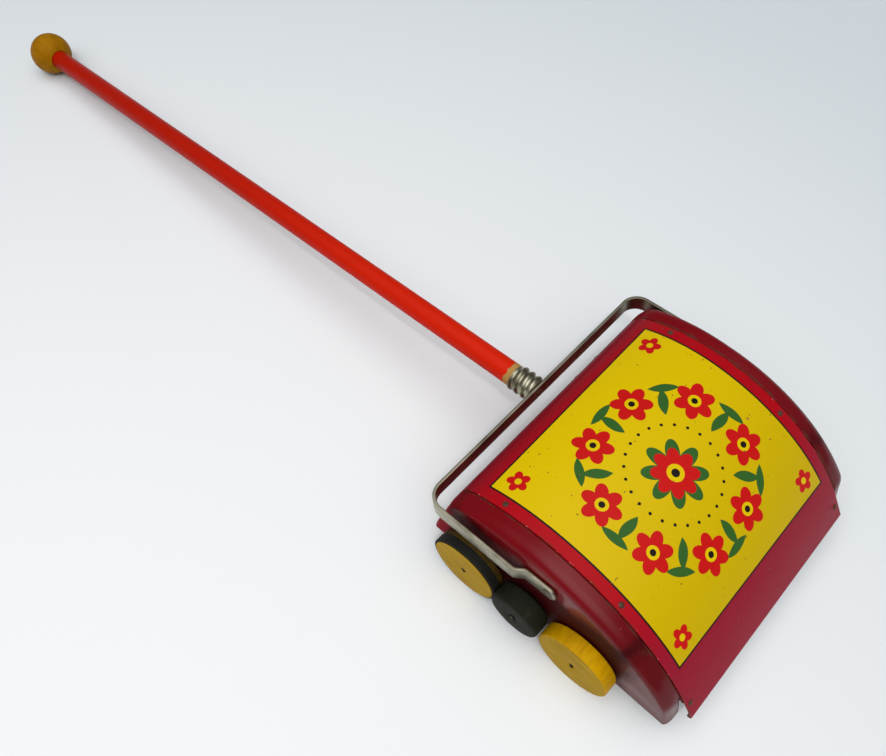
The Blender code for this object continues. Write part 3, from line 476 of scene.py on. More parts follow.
# %% Outlines of cover and caps
CAP_SHOULDER = 6.3 * MM
CAP_BACK_SHOULDER = 2.2 * MM
CAP_NOSE_SHOULDER = 2.6 * MM
CAP_BACK_SHARE = CAP_BACK_SHOULDER / CAP_SHOULDER
CAP_NOSE_SHARE = CAP_NOSE_SHOULDER / CAP_SHOULDER


def down_wall(top, down, height):
    """The point at a height on a straight wall that runs down from top."""
    return top + (height - top.y) / down.y * down


def wall_point(height, inset):
    """The point of the flared rear wall at a height, moved in by inset."""
    top = CORNER_CENTRE + (CORNER_RADIUS - inset) * side(WALL_FLARE)
    return down_wall(top, side(WALL_FLARE - QUARTER), height)


def nose_turn(inset, leave):
    """The round nose of a cap, from where it leaves the front arc to the flared front wall."""
    centre = FRONT_CENTRE + (FRONT_RADIUS - NOSE_RADIUS) * side(leave)
    return arc(centre, NOSE_RADIUS - inset, leave, NOSE_WALL, NOSE_STEPS)


def crown_outline(inset, depth, leave):
    """From the rear wall over the crown, moved in by inset and by a shoulder shallower at both ends."""
    back = inset + CAP_BACK_SHARE * depth
    top = inset + depth
    nose = inset + CAP_NOSE_SHARE * depth
    corner = arc(CORNER_CENTRE, CORNER_RADIUS - back, WALL_FLARE, REAR_END, CORNER_STEPS)
    rear = arc(REAR_CENTRE, REAR_RADIUS - back, REAR_END, QUARTER, REAR_STEPS, REAR_RADIUS - top)
    falling = arc(FRONT_CENTRE, FRONT_RADIUS - top, QUARTER, leave, FRONT_STEPS, FRONT_RADIUS - nose)
    return corner + rear[1:] + falling[1:]


def cover_outline():
    lip = FRONT_CENTRE + FRONT_RADIUS * side(FRONT_END) + LIP_LENGTH * side(FRONT_END + QUARTER)
    hem_centre = lip - HEM_RADIUS * side(FRONT_END)
    hem = arc(hem_centre, HEM_RADIUS, FRONT_END, FRONT_END + HEM_SWEEP, HEM_STEPS)
    return [wall_point(BODY_BOTTOM, 0)] + crown_outline(0, 0, FRONT_END) + hem


def cap_outline(inset, depth, leave):
    """A cap's outline, with its feet past the bottom edge, where it is trimmed."""
    foot = BODY_BOTTOM - 2 * SHEET
    rear_foot = wall_point(foot, inset + CAP_BACK_SHARE * depth)
    nose = nose_turn(inset + CAP_NOSE_SHARE * depth, leave)
    nose_foot = down_wall(nose[-1], side(NOSE_WALL + QUARTER), foot)
    return [rear_foot] + crown_outline(inset, depth, leave) + nose[1:] + [nose_foot]


print("points along the cover:", len(cover_outline()))

# %% [markdown]
# ## The cover's print
# The cover is one tin sheet, printed flat before it was bent: a yellow panel with a thin black line
# round it, in a red border. A picture could be laid on it, but the print here is drawn by formulas. The
# sheet's own map holds the distance across it and the run along it in metres, so the print bends with
# the sheet and stays true to size. The panel carries a plain folk wreath of red flowers and green
# leaves.


# %% Motifs of the print
PRINT_EDGE = 0.16 * MM


def inked(distance):
    """The mask of a printed shape from the distance inside its edge."""
    return distance.ramp(0, PRINT_EDGE)


def dotted(colour, ink, radius, distance):
    """A colour with a round dot of ink on it."""
    return blend(colour, ink, inked(radius - distance))


def ring_of(across, along, count, radius, turn=0):
    """Coordinates about the nearest of count motifs that stand evenly round a ring."""
    step = FULL_TURN / count
    angle = across.math("ARCTAN2", along, across) + turn
    local = angle.math("FLOORED_MODULO", angle, step) - step / 2
    distance = reach(across, along)
    outward = distance * local.math("COSINE", local) - radius
    sideways = distance * local.math("SINE", local)
    return outward, sideways


def flower(outward, sideways, radius, petals, depth):
    """A flower: a disc whose edge swells into petals."""
    angle = outward.math("ARCTAN2", sideways, outward) * petals
    edge = radius * (1 - depth) + radius * depth * abs(angle.math("COSINE", angle * 0.5))
    return edge - reach(outward, sideways)


def leaf(along, across, half_length, half_width):
    """A leaf: two bowed edges that meet in a point at each end."""
    share = along / half_length
    return (half_width * (1 - share * share)) - abs(across)


print("print edges soft over", round(PRINT_EDGE / MM, 2), "mm")

# %% Wreath
PANEL_HALF = 61.5 * MM
WREATH_RADIUS = 40 * MM
WREATH_FLOWERS = 8
INNER_LEAF = (7.5 * MM, 2.7 * MM)
INNER_LEAF_IN = 3 * MM
INNER_LEAF_LEAN = 0.35
OUTER_LEAF = (8 * MM, 2.4 * MM)
OUTER_LEAF_OUT = 5 * MM
OUTER_LEAF_LEAN = 0.3
FLOWER_RADIUS = 10.5 * MM
FLOWER_PETALS = 6
FLOWER_DEPTH = 0.38
FLOWER_EYE = 3.4 * MM
FLOWER_PUPIL = 1.7 * MM
ROSETTE_LOBES = 8
ROSETTE_LEAF_RADIUS = 17 * MM
ROSETTE_LEAF_DEPTH = 0.45
ROSETTE_RADIUS = 12.5 * MM
ROSETTE_DEPTH = 0.3
ROSETTE_EYE = 4.5 * MM
ROSETTE_PUPIL = 2.2 * MM
BERRY_RING = 24.5 * MM
BERRIES = 24
BERRY_RADIUS = 0.9 * MM
CORNER_PLACE = 52 * MM
CORNER_FLOWER_RADIUS = 6 * MM
CORNER_FLOWER_PETALS = 5
CORNER_FLOWER_DEPTH = 0.4
CORNER_EYE = 1.8 * MM
INK_YELLOW = paint(221, 190, 0)
# painted shade: a darker yellow for the panel's front, which tilts forward away from the light
INK_YELLOW_PAINTED_SHADE = paint(200, 171, 2)
INK_RED = paint(196, 22, 20)
INK_GREEN = paint(52, 96, 40)
INK_BLACK = paint(30, 24, 20)


def wreath_leaves(across, along):
    """Two leaves in each gap of the wreath: one along the ring's radius and one along the ring."""
    half_step = math.pi / WREATH_FLOWERS
    out, aside = ring_of(across, along, WREATH_FLOWERS, WREATH_RADIUS, half_step)
    inner = leaf(out + aside * INNER_LEAF_LEAN + INNER_LEAF_IN, aside, *INNER_LEAF)
    outer = leaf(aside + out * OUTER_LEAF_LEAN, out - OUTER_LEAF_OUT, *OUTER_LEAF)
    return inner.math("MAXIMUM", inner, outer)


def rosette(colour, across, along):
    leaves = flower(across, along, ROSETTE_LEAF_RADIUS, ROSETTE_LOBES, ROSETTE_LEAF_DEPTH)
    petals = flower(along, across, ROSETTE_RADIUS, ROSETTE_LOBES, ROSETTE_DEPTH)
    colour = blend(colour, INK_GREEN, inked(leaves))
    colour = blend(colour, INK_RED, inked(petals))
    centre = reach(across, along)
    colour = dotted(colour, INK_YELLOW, ROSETTE_EYE, centre)
    return dotted(colour, INK_BLACK, ROSETTE_PUPIL, centre)


def wreath_print(across, along):
    """Flowers, leaves, berries and a rosette, on the yellow field."""
    # The field darkens towards the front, where the panel tilts forward: painted shade.
    colour = blend(INK_YELLOW_PAINTED_SHADE, INK_YELLOW, along.ramp(-PANEL_HALF, PANEL_HALF))
    colour = blend(colour, INK_GREEN, inked(wreath_leaves(across, along)))
    out, aside = ring_of(across, along, WREATH_FLOWERS, WREATH_RADIUS)
    petals = flower(out, aside, FLOWER_RADIUS, FLOWER_PETALS, FLOWER_DEPTH)
    colour = blend(colour, INK_RED, inked(petals))
    colour = dotted(colour, INK_YELLOW, FLOWER_EYE, reach(out, aside))
    colour = dotted(colour, INK_BLACK, FLOWER_PUPIL, reach(out, aside))
    colour = rosette(colour, across, along)
    berry_out, berry_aside = ring_of(across, along, BERRIES, BERRY_RING)
    colour = dotted(colour, INK_BLACK, BERRY_RADIUS, reach(berry_out, berry_aside))
    corner_across = abs(across) - CORNER_PLACE
    corner_along = abs(along) - CORNER_PLACE
    size = (CORNER_FLOWER_RADIUS, CORNER_FLOWER_PETALS, CORNER_FLOWER_DEPTH)
    colour = blend(colour, INK_RED, inked(flower(corner_across, corner_along, *size)))
    return dotted(colour, INK_YELLOW, CORNER_EYE, reach(corner_across, corner_along))


print("wreath:", round(2 * WREATH_RADIUS / MM), "mm across")

# %% Finishes of the cover
LINE_WIDTH = 1.1 * MM
EDGE_DIRT = 1.6 * MM
BORDER_RED = paint(180, 9, 22)
BORDER_DEEP_RED = paint(162, 9, 24)
# Painted shade: the red behind the panel, and the red of the lip, which also holds a painted pinkish
# reflection.
BORDER_RED_PAINTED_SHADE = paint(142, 16, 32)
LIP_RED_PAINTED_SHADE_AND_REFLECTION = paint(146, 24, 46)
DIRT = paint(70, 48, 24)
BARE_TIN = paint(190, 120, 112)
LACQUER_PALE = paint(120, 104, 78)
LACQUER_DEEP = paint(92, 74, 56)


def red_border(along, clouds):
    """The border's red, with painted shade behind the panel and on the lip, and a painted pinkish
    reflection on the lip.
    """
    red = blend(BORDER_RED, BORDER_DEEP_RED, clouds)
    shade_behind_panel = along.ramp(0.9 * PANEL_HALF, 1.15 * PANEL_HALF)
    shade_on_lip = 1 - along.ramp(-1.05 * PANEL_HALF, -0.2 * PANEL_HALF)
    red = blend(red, BORDER_RED_PAINTED_SHADE, shade_behind_panel)
    return blend(red, LIP_RED_PAINTED_SHADE_AND_REFLECTION, shade_on_lip)


def printed_tin():
    material, place = new_finish("printed_tin")
    across, along, _ = place.node("UVMap", {"uv_map": "print"}).parts()
    panel = PANEL_HALF - across.math("MAXIMUM", abs(across), abs(along))
    clouds = noise(place, 35)
    grain = noise(place, 1400, 2)
    colour = blend(red_border(along, clouds), wreath_print(across, along), inked(panel))
    colour = blend(colour, INK_BLACK, inked(LINE_WIDTH / 2 - abs(panel)))
    specks = noise(place, 420, 1).ramp(0.74, 0.79) * 0.7
    colour = blend(colour, DIRT, specks)
    edge = abs(across).ramp(COVER_HALF_WIDTH - EDGE_DIRT, COVER_HALF_WIDTH)
    colour = blend(colour, DIRT, edge * noise(place, 140, 3).ramp(0.35, 0.75) * 0.6)
    chips = (noise(place, 420, 4) + edge * 0.1).ramp(0.74, 0.77)
    colour = blend(colour, BARE_TIN, chips * 0.7)
    rough = 0.3 + 0.14 * clouds + 0.08 * grain
    normal = bumped(clouds * 4 + grain * 0.05, 0.1 * MM, 0.6)
    return finished(material, place, colour, rough, Normal=normal, Specular_IOR_Level=0.08)


def tin_inside():
    """The unprinted side of the sheet: dull tin under a thin golden lacquer."""
    material, place = new_finish("tin_inside")
    clouds = noise(place, 60, 5)
    colour = blend(LACQUER_PALE, LACQUER_DEEP, clouds)
    rough = 0.4 + 0.25 * clouds
    return finished(material, place, colour, rough, Metallic=0.8, Normal=bumped(clouds, 0.05 * MM))


PRINTED_TIN = printed_tin()
TIN_INSIDE = tin_inside()
print("nodes in the print:", len(PRINTED_TIN.node_tree.nodes))

# %% [markdown]
# ## The cover's sheet
# On the real toy a flat blank is rolled over formers and its front edge is turned under into a hem. A
# lattice could bend a flat grid, but the real way is shorter: the side outline is a chain of edges, and
# one extrusion draws it across the width. A vertex value keeps the run along the sheet, because the
# extruded copies keep it too.


# %% Cover
PANEL_BACK_REACH = 38.2 * MM
TIN_EDGE = 0.2 * MM


def extrude_row(bm, edges):
    """Extrudes a chain of edges, and gives the vertices and edges of the new row."""
    made = bmesh.ops.extrude_edge_only(bm, edges=edges)["geom"]
    row = [item for item in made if isinstance(item, bmesh.types.BMVert)]
    drawn = [item for item in made if isinstance(item, bmesh.types.BMEdge)]
    return row, [edge for edge in drawn if set(edge.verts) <= set(row)]


def point_outwards(bm, face, outward):
    """Makes all faces agree, with one of them known to point outwards."""
    bmesh.ops.recalc_face_normals(bm, faces=bm.faces)
    if face.normal.dot(outward) < 0:
        bmesh.ops.reverse_faces(bm, faces=bm.faces)


def cover_sheet():
    bm = bmesh.new()
    run_of = bm.verts.layers.float.new("run")
    chain, edges = edge_chain(bm, [(-COVER_HALF_WIDTH, point.x, point.y) for point in cover_outline()])
    for near, far in zip(chain, chain[1:]):
        far[run_of] = near[run_of] + (far.co - near.co).length
    crown = min(chain, key=lambda vert: (vert.co.yz - CROWN).length)
    panel_back = crown[run_of] - REAR_RADIUS * math.asin(PANEL_BACK_REACH / REAR_RADIUS)
    row, _ = extrude_row(bm, edges)
    bmesh.ops.translate(bm, vec=(2 * COVER_HALF_WIDTH, 0, 0), verts=row)
    top = max(bm.faces, key=lambda face: face.calc_center_median().z)
    point_outwards(bm, top, Vector((0, 0, 1)))
    print_map = bm.loops.layers.uv.new("print")
    for face in bm.faces:
        for corner in face.loops:
            along = panel_back + PANEL_HALF - corner.vert[run_of]
            corner[print_map].uv = (corner.vert.co.x, along)
    return bm


def place_tin(name, bm, outer_finish, node):
    """Places a pressed sheet of the body, and gives it its thickness and soft edges."""
    piece = place_piece(name, bm, [outer_finish, TIN_INSIDE], "sweeper_body", [node])
    solidify(piece, SHEET, offset=-1, inner_finish=1)
    round_edges(piece, TIN_EDGE, segments=2)


place_tin("printed_cover", cover_sheet(), PRINTED_TIN, "top_cover")

# %% [markdown]
# ## The end caps
# Each end is pressed from tin and enamelled maroon: a flange under the cover, a small step, a short
# flat, a round shoulder and a flat face. A solid could be bevelled to this, but pressing is closer to
# the truth: one edge chain is extruded from station to station, and a number kept on each vertex says
# where on the outline it belongs. The enamel is worn along the seam. Its face behind the wheels and
# under the strap is painted dark as shade and has a duller coat, and the cap is painted darker towards
# the nose as shade.


# %% Enamel of the caps
CAP_STEP_X = COVER_HALF_WIDTH + SEAT
CAP_SEAM_X = CAP_STEP_X + SHEET
# Painted shade on the caps' faces, behind the wheels and under the strap.
PAINTED_SHADE_FRONT = PIVOTS["front_axle_spin"].y - 23 * MM
PAINTED_SHADE_TOP = 57 * MM
PAINTED_SHADE_SOFT = 5 * MM
PAINTED_SHADE_WOBBLE = 24 * MM
# painted shade: the reach over which the caps darken towards the nose
NOSE_PAINTED_SHADE_REACH = 80 * MM
RUBBED_LENGTH = 20 * MM
SCUFFED_HEIGHT = 14 * MM
SEAM_FROM = 0.1 * MM
SEAM_TO = 1 * MM
ENAMEL = paint(128, 12, 22)
ENAMEL_DEEP = paint(106, 9, 18)
# painted shade: the colour the caps darken to towards the nose
ENAMEL_NOSE_PAINTED_SHADE = paint(84, 8, 16)
# painted shade: the colour of the face behind the wheels and under the strap
ENAMEL_PAINTED_SHADE = paint(36, 6, 7)
ENAMEL_BACK = paint(150, 18, 38)
ENAMEL_WORN = paint(92, 52, 42)


def painted_shade_and_dull_coat(place):
    """Painted shade on a cap's face behind the wheels and under the strap, where the coat is also
    duller: most of its face, but neither nose nor shoulder.
    """
    _, y, z = place.parts()
    shade_wobble = (noise(place, 55, 4) - 0.5) * PAINTED_SHADE_WOBBLE
    behind_nose = (y - PAINTED_SHADE_FRONT + shade_wobble).ramp(-PAINTED_SHADE_SOFT, PAINTED_SHADE_SOFT)
    above_face = (z + shade_wobble).ramp(PAINTED_SHADE_TOP - PAINTED_SHADE_SOFT, PAINTED_SHADE_TOP + PAINTED_SHADE_SOFT)
    return behind_nose * (1 - above_face)


def maroon_enamel():
    material, place = new_finish("maroon_enamel")
    x, y, z = place.parts()
    clouds = noise(place, 30, 4)
    fine = noise(place, 700, 2)
    colour = blend(ENAMEL, ENAMEL_DEEP, clouds)
    # Darker towards the nose: painted shade.
    colour = blend(colour, ENAMEL_NOSE_PAINTED_SHADE, (BODY_Y - y).ramp(0, NOSE_PAINTED_SHADE_REACH) * 0.8)
    # The face behind the wheels and under the strap: painted shade, with a duller coat.
    shade_and_dull = painted_shade_and_dull_coat(place)
    colour = blend(colour, ENAMEL_PAINTED_SHADE, shade_and_dull * 0.82)
    behind = (y - CORNER_CENTRE.x).ramp(0.6 * CORNER_RADIUS, CORNER_RADIUS)
    colour = blend(colour, ENAMEL_BACK, behind)
    seam = 1 - abs(abs(x) - CAP_SEAM_X).ramp(SEAM_FROM, SEAM_TO)
    worn = (noise(place, 160, 5) + seam * 0.26).ramp(0.62, 0.86)
    colour = blend(colour, ENAMEL_WORN, worn * 0.8)
    chips = noise(place, 240, 3).ramp(0.75, 0.77)
    colour = blend(colour, BARE_TIN, chips * 0.7)
    rough = 0.3 + 0.1 * clouds + 0.06 * fine + worn * 0.25 + shade_and_dull * 0.15 + behind * 0.25
    rubbed = (y - PIVOTS["bail_pivot"].y).ramp(0, RUBBED_LENGTH) * 0.85
    scuffed = (1 - z.ramp(BODY_BOTTOM, BODY_BOTTOM + SCUFFED_HEIGHT)) * 0.7
    shine = 0.38 * (1 - shade_and_dull) * (1 - worn) * (1 - behind) * (1 - rubbed) * (1 - scuffed)
    normal = bumped(clouds * 5 + fine * 0.1, 0.08 * MM, 0.6)
    coat = {"Coat_Weight": shine, "Coat_Roughness": 0.08}
    return finished(material, place, colour, rough, Normal=normal, Specular_IOR_Level=0.06, **coat)


MAROON_ENAMEL = maroon_enamel()
print("nodes in the enamel:", len(MAROON_ENAMEL.node_tree.nodes))


# %% Caps
CAP_FLAT = 3.5 * MM
CAP_FLANGE = 7 * MM
CAP_FACE_X = CAP_SEAM_X + CAP_FLAT + CAP_SHOULDER
CAP_FACE_RIM = 0.4 * MM
SHOULDER_STEPS = 12
SIDES = {"left": -1, "right": 1}


def cap_stations():
    """Distance from the middle and outline, from the flange over the shoulder to the face."""
    flange = cap_outline(SHEET + SEAT, 0, FRONT_END)
    stations = [(COVER_HALF_WIDTH - CAP_FLANGE, flange), (CAP_STEP_X, flange)]
    stations.append((CAP_SEAM_X, cap_outline(0, 0, NOSE_END)))
    for i in range(SHOULDER_STEPS + 1):
        turn = CAP_SHOULDER * side(QUARTER * (1 - i / SHOULDER_STEPS))
        outline = cap_outline(0, CAP_SHOULDER - turn.y, NOSE_END)
        stations.append((CAP_SEAM_X + CAP_FLAT + turn.x, outline))
    return stations


def press_cap(bm, number_of, sign):
    """Draws the flange's edge chain out through the stations, and closes the last with a flat face."""
    stations = cap_stations()
    x, outline = stations[0]
    row, edges = edge_chain(bm, [(sign * x, point.x, point.y) for point in outline])
    for number, vert in enumerate(row):
        vert[number_of] = number
    for x, outline in stations[1:]:
        row, edges = extrude_row(bm, edges)
        for vert in row:
            point = outline[vert[number_of]]
            vert.co = (sign * x, point.x, point.y)
    face = bm.faces.new(sorted(row, key=lambda vert: vert[number_of]))
    bm.normal_update()
    bmesh.ops.inset_region(bm, faces=[face], thickness=CAP_FACE_RIM)


def drop_nose_flange(bm, number_of):
    """Takes the flange and step away past the lip, where no cover lies over them."""
    flange_end = len(crown_outline(0, 0, NOSE_END))
    spare = []
    for face in bm.faces:
        before_nose = min(vert[number_of] for vert in face.verts) < flange_end
        outside = max(abs(vert.co.x) for vert in face.verts) > CAP_SEAM_X + SEAT
        if not before_nose and not outside:
            spare.append(face)
    bmesh.ops.delete(bm, geom=spare, context="FACES")


def cut_away(bm, point, outward):
    """Cuts along the plane through a point and takes away what lies past it."""
    everything = bm.verts[:] + bm.edges[:] + bm.faces[:]
    bmesh.ops.bisect_plane(bm, geom=everything, plane_co=point, plane_no=outward, clear_outer=True)


def cap_shell(sign):
    bm = bmesh.new()
    number_of = bm.verts.layers.int.new("number")
    press_cap(bm, number_of, sign)
    drop_nose_flange(bm, number_of)
    cut_away(bm, (0, 0, BODY_BOTTOM), (0, 0, -1))
    outer = max(bm.faces, key=lambda face: face.calc_area())
    point_outwards(bm, outer, Vector((sign, 0, 0)))
    return bm


for name, sign in SIDES.items():
    place_tin(name + "_cap", cap_shell(sign), MAROON_ENAMEL, name + "_end_cap")
print("cap faces", round(2 * CAP_FACE_X / MM, 2), "mm apart")

# %% [markdown]
# ## Rivets
# Small round-headed rivets hold the cover's red border to the caps' flanges, three on each side, and
# two more hold the drum's bracket to the rear wall. A squashed sphere would do for a head, but one
# profile can hold head and tail: a shallow dome of four points and a straight shank, spun about the
# sheet's normal.


# %% Rivets
RIVET_RADIUS = 1.6 * MM
RIVET_HEIGHT = 0.6 * MM
RIVET_DOME_TURNS = (0, 0.5, 1, QUARTER)
RIVET_SHANK = RIVET_RADIUS * 0.65
RIVET_EDGE = 0.12 * MM
RIVET_X = COVER_HALF_WIDTH - 3 * MM
RIVET_ANGLES = {"rear": -16.8, "front": 22.8, "lip": 57.5}
COVER_RIVET_TAIL = 3 * SHEET
BRACKET_RIVET_TAIL = 4 * SHEET
SLIM_STEPS = 32
RIVET_PALE = paint(104, 66, 50)
RIVET_RUST = paint(62, 40, 32)


def rivet_steel():
    material, place = new_finish("rivet_steel")
    blotch = noise(place, 500, 4)
    colour = blend(RIVET_PALE, RIVET_RUST, blotch)
    rough = 0.42 + 0.3 * blotch
    return finished(material, place, colour, rough, Metallic=0.4, Normal=bumped(blotch, 0.08 * MM))


def rivet(name, foot, outward, tail):
    """A domed head on the sheet and a plain tail behind it."""
    turns = RIVET_DOME_TURNS
    profile = [(RIVET_RADIUS * math.sin(turn), RIVET_HEIGHT * math.cos(turn)) for turn in turns]
    profile += [(RIVET_RADIUS, 0), (RIVET_SHANK, 0), (RIVET_SHANK, -tail), (0, -tail)]
    bm = spun(profile, foot, outward, SLIM_STEPS)
    soften(bm, RIVET_EDGE, segments=2)
    place_piece(name + "_head", bm, [RIVET_STEEL], "sweeper_body", [name])


RIVET_STEEL = rivet_steel()
for where, degrees in RIVET_ANGLES.items():
    angle = QUARTER + math.radians(degrees)
    centre, radius = (REAR_CENTRE, REAR_RADIUS) if degrees < 0 else (FRONT_CENTRE, FRONT_RADIUS)
    point = centre + radius * side(angle)
    for name, sign in SIDES.items():
        foot = Vector((sign * RIVET_X, point.x, point.y))
        rivet(f"{name}_{where}_rivet", foot, Vector((0, *side(angle))), COVER_RIVET_TAIL)
for number in (1, 2):
    low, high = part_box(f"bracket_rivet_{number}")
    middle = (low + high) / 2
    foot_point = wall_point(middle.z, 0)
    foot = Vector((middle.x, foot_point.x, foot_point.y))
    rivet(f"bracket_rivet_{number}", foot, Vector((0, *side(WALL_FLARE))), BRACKET_RIVET_TAIL)

# %% [markdown]
# ## Wooden wheels
# The wheels are sawn from stained boards, so each face shows straight grain and a little dirt, and the
# turned rim is a stronger yellow. The rear wheels' rims, between tyre and cap, are painted dark brown
# as shade. A texture of rings would suit a log, but a board has long lines: noise that is squeezed
# across the grain and drawn out along it. Face and rim have a finish each, told apart by the way a face
# points.


# %% Finishes of the wood
ALONG_BOARD = (6, 1, 9)
ACROSS_BOARD = (1, 7, 7)
ALONG_BALL = (3, 1, 3)
ALONG_CORE = (1, 8, 8)
PORE_BROWN = paint(84, 58, 16)
SOILED_BROWN = paint(110, 80, 24)


def stained_wood(name, pale, deep, stretch, rough_from):
    material, place = new_finish(name)
    grain = noise(place, 90, 4, stretch)
    pores = noise(place, 420, 2, stretch)
    clouds = noise(place, 45, 3)
    colour = blend(pale, deep, grain.ramp(0.3, 0.72))
    colour = blend(colour, PORE_BROWN, pores.ramp(0.62, 0.74) * 0.22)
    colour = blend(colour, SOILED_BROWN, clouds.ramp(0.52, 0.72) * 0.2)
    rough = rough_from + 0.18 * grain + 0.1 * clouds
    normal = bumped(grain + pores * 0.6, 0.1 * MM, 0.6)
    return finished(material, place, colour, rough, Normal=normal, Specular_IOR_Level=0.06)


WHEEL_FACE = stained_wood("wheel_face", paint(186, 149, 24), paint(168, 131, 20), ALONG_BOARD, 0.45)
WHEEL_RIM = stained_wood("wheel_rim", paint(206, 156, 0), paint(188, 138, 0), ACROSS_BOARD, 0.4)
# Painted shade: the rear wheels' rims are a dark brown copy of the rim's wood.
RIM_WITH_PAINTED_SHADE = stained_wood("rim_with_painted_shade", paint(76, 56, 16), paint(56, 42, 14), ACROSS_BOARD, 0.45)
BALL_WOOD = stained_wood("ball_wood", paint(160, 110, 0), paint(144, 96, 0), ALONG_BALL, 0.36)
BRUSH_WOOD = stained_wood("brush_wood", paint(186, 142, 86), paint(150, 108, 60), ALONG_CORE, 0.55)
print("nodes in each wood:", len(BALL_WOOD.node_tree.nodes))

# %% Wheels
WHEEL_RADIUS = 19.8 * MM
WHEEL_STANDOFF = 0.6 * MM
WHEEL_WIDTH = 8.4 * MM
WHEEL_INNER_X = CAP_FACE_X + WHEEL_STANDOFF
WHEEL_OUTER_X = WHEEL_INNER_X + WHEEL_WIDTH
HUB_RADIUS = 1.3 * MM
TYRE_THICKNESS = 0.9 * MM
TYRE_WIDTH = 5.4 * MM
FLANGE_STEP = 0.4 * MM
FLANGE_RADIUS = WHEEL_RADIUS - FLANGE_STEP
WHEEL_EDGE = 0.8 * MM
TYRED_EDGE = 0.3 * MM
FACE_LEAST_X = 0.8


def turned(section, axle, sign, edge):
    """A closed section spun about an axle, on one side of the body, with its rims rounded."""
    bm = spun(section + section[:1], Vector((0, axle.y, axle.z)), Vector((sign, 0, 0)))
    soften(bm, edge)
    return bm


def band(inner, outer, low, high):
    """The section of a plain ring."""
    return (inner, low), (outer, low), (outer, high), (inner, high)


def tyred_section():
    """The section of a rear wheel: a flange, and a lower seat for the tyre."""
    seat = WHEEL_RADIUS - TYRE_THICKNESS - SEAT
    shoulder = WHEEL_OUTER_X - TYRE_WIDTH - SEAT
    flange = ((HUB_RADIUS, WHEEL_INNER_X), (FLANGE_RADIUS, WHEEL_INNER_X), (FLANGE_RADIUS, shoulder))
    return flange + ((seat, shoulder), (seat, WHEEL_OUTER_X), (HUB_RADIUS, WHEEL_OUTER_X))


def wheel(name, bm, rim, body):
    """Places a wheel; faces that point along X have the face's finish and the rest the rim's."""
    for face in bm.faces:
        face.material_index = 0 if abs(face.normal.x) > FACE_LEAST_X else 1
    place_piece(name + "_wood", bm, [WHEEL_FACE, rim], body, [name])


PLAIN_SECTION = band(HUB_RADIUS, WHEEL_RADIUS, WHEEL_INNER_X, WHEEL_OUTER_X)
for name, sign in SIDES.items():
    front = turned(PLAIN_SECTION, PIVOTS["front_axle_spin"], sign, WHEEL_EDGE)
    rear = turned(tyred_section(), PIVOTS["rear_axle_spin"], sign, TYRED_EDGE)
    wheel(f"front_{name}_wheel", front, WHEEL_RIM, "front_wheels")
    wheel(f"rear_{name}_wheel", rear, RIM_WITH_PAINTED_SHADE, "rear_wheels")

# %% [markdown]
# ## Tyres and friction rollers
# A rubber band on each rear wheel presses on a black roller beside it, and so the wheels turn the
# brush. The rubber is dull and dusty, and the roller is painted wood that the tyre has rubbed. A tyre
# could be a torus, but this one is cut from flat-walled tube, so both are rings, spun from a section
# like the wheels.


# %% Tyres and rollers
ROLLER_PROUD = 2.6 * MM
ROLLER_OUTER_X = WHEEL_OUTER_X + ROLLER_PROUD
ROLLER_WIDTH = 10.4 * MM
ROLLER_CHAMFER = 1.6 * MM
ROLLER_RADIUS = (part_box("left_friction_roller")[1].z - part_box("left_friction_roller")[0].z) / 2
TYRE_INSET = 0.4 * MM
TYRE_EDGE = 0.3 * MM
RUBBER_BLACK = paint(28, 29, 26)
RUBBER_DUST = paint(46, 45, 40)
ROLLER_BLACK = paint(32, 33, 25)
ROLLER_RUBBED = paint(46, 46, 36)
ROLLER_BARE = paint(80, 68, 46)


def tyre_rubber():
    material, place = new_finish("tyre_rubber")
    dust = noise(place, 130, 4)
    grain = noise(place, 1500, 2)
    colour = blend(RUBBER_BLACK, RUBBER_DUST, dust.ramp(0.5, 0.8))
    rough = 0.62 + 0.2 * dust
    normal = bumped(grain + dust, 0.06 * MM)
    return finished(material, place, colour, rough, Normal=normal, Specular_IOR_Level=0.15)


def black_roller_paint():
    material, place = new_finish("black_roller_paint")
    rubbed = noise(place, 110, 5, (1, 3, 3))
    grain = noise(place, 300, 3, (1, 6, 6))
    colour = blend(ROLLER_BLACK, ROLLER_RUBBED, rubbed.ramp(0.48, 0.78))
    colour = blend(colour, ROLLER_BARE, grain.ramp(0.7, 0.8) * 0.4)
    rough = 0.42 + 0.25 * rubbed
    normal = bumped(grain + rubbed, 0.08 * MM)
    return finished(material, place, colour, rough, Normal=normal, Specular_IOR_Level=0.04)


TYRE_RUBBER = tyre_rubber()
ROLLER_PAINT = black_roller_paint()
tyre_low, tyre_high = WHEEL_OUTER_X - TYRE_WIDTH, WHEEL_OUTER_X - TYRE_INSET
TYRE_SECTION = band(WHEEL_RADIUS - TYRE_THICKNESS, WHEEL_RADIUS, tyre_low, tyre_high)
ROLLER_SECTION = band(HUB_RADIUS, ROLLER_RADIUS, ROLLER_OUTER_X - ROLLER_WIDTH, ROLLER_OUTER_X)
for name, sign in SIDES.items():
    node = f"rear_{name}_tyre"
    bm = turned(TYRE_SECTION, PIVOTS["rear_axle_spin"], sign, TYRE_EDGE)
    place_piece(node + "_rubber", bm, [TYRE_RUBBER], "rear_wheels", [node])
    node = f"{name}_friction_roller"
    bm = turned(ROLLER_SECTION, PIVOTS["brush_spin"], sign, ROLLER_CHAMFER)
    place_piece(node + "_wood", bm, [ROLLER_PAINT], "brush_roller", [node])

# %% [markdown]
# ## Axles
# The axles are steel wire. At each end the wire is squeezed flat so that the wheel can't come off, and
# from outside only that narrow dark blade shows. The wire's own end could be scaled flat, but a spun
# shaft and a small cube that is stretched into a blade are easier to set. All bare metal shares one
# recipe: a tarnish of cloudy noise and fine scratches.


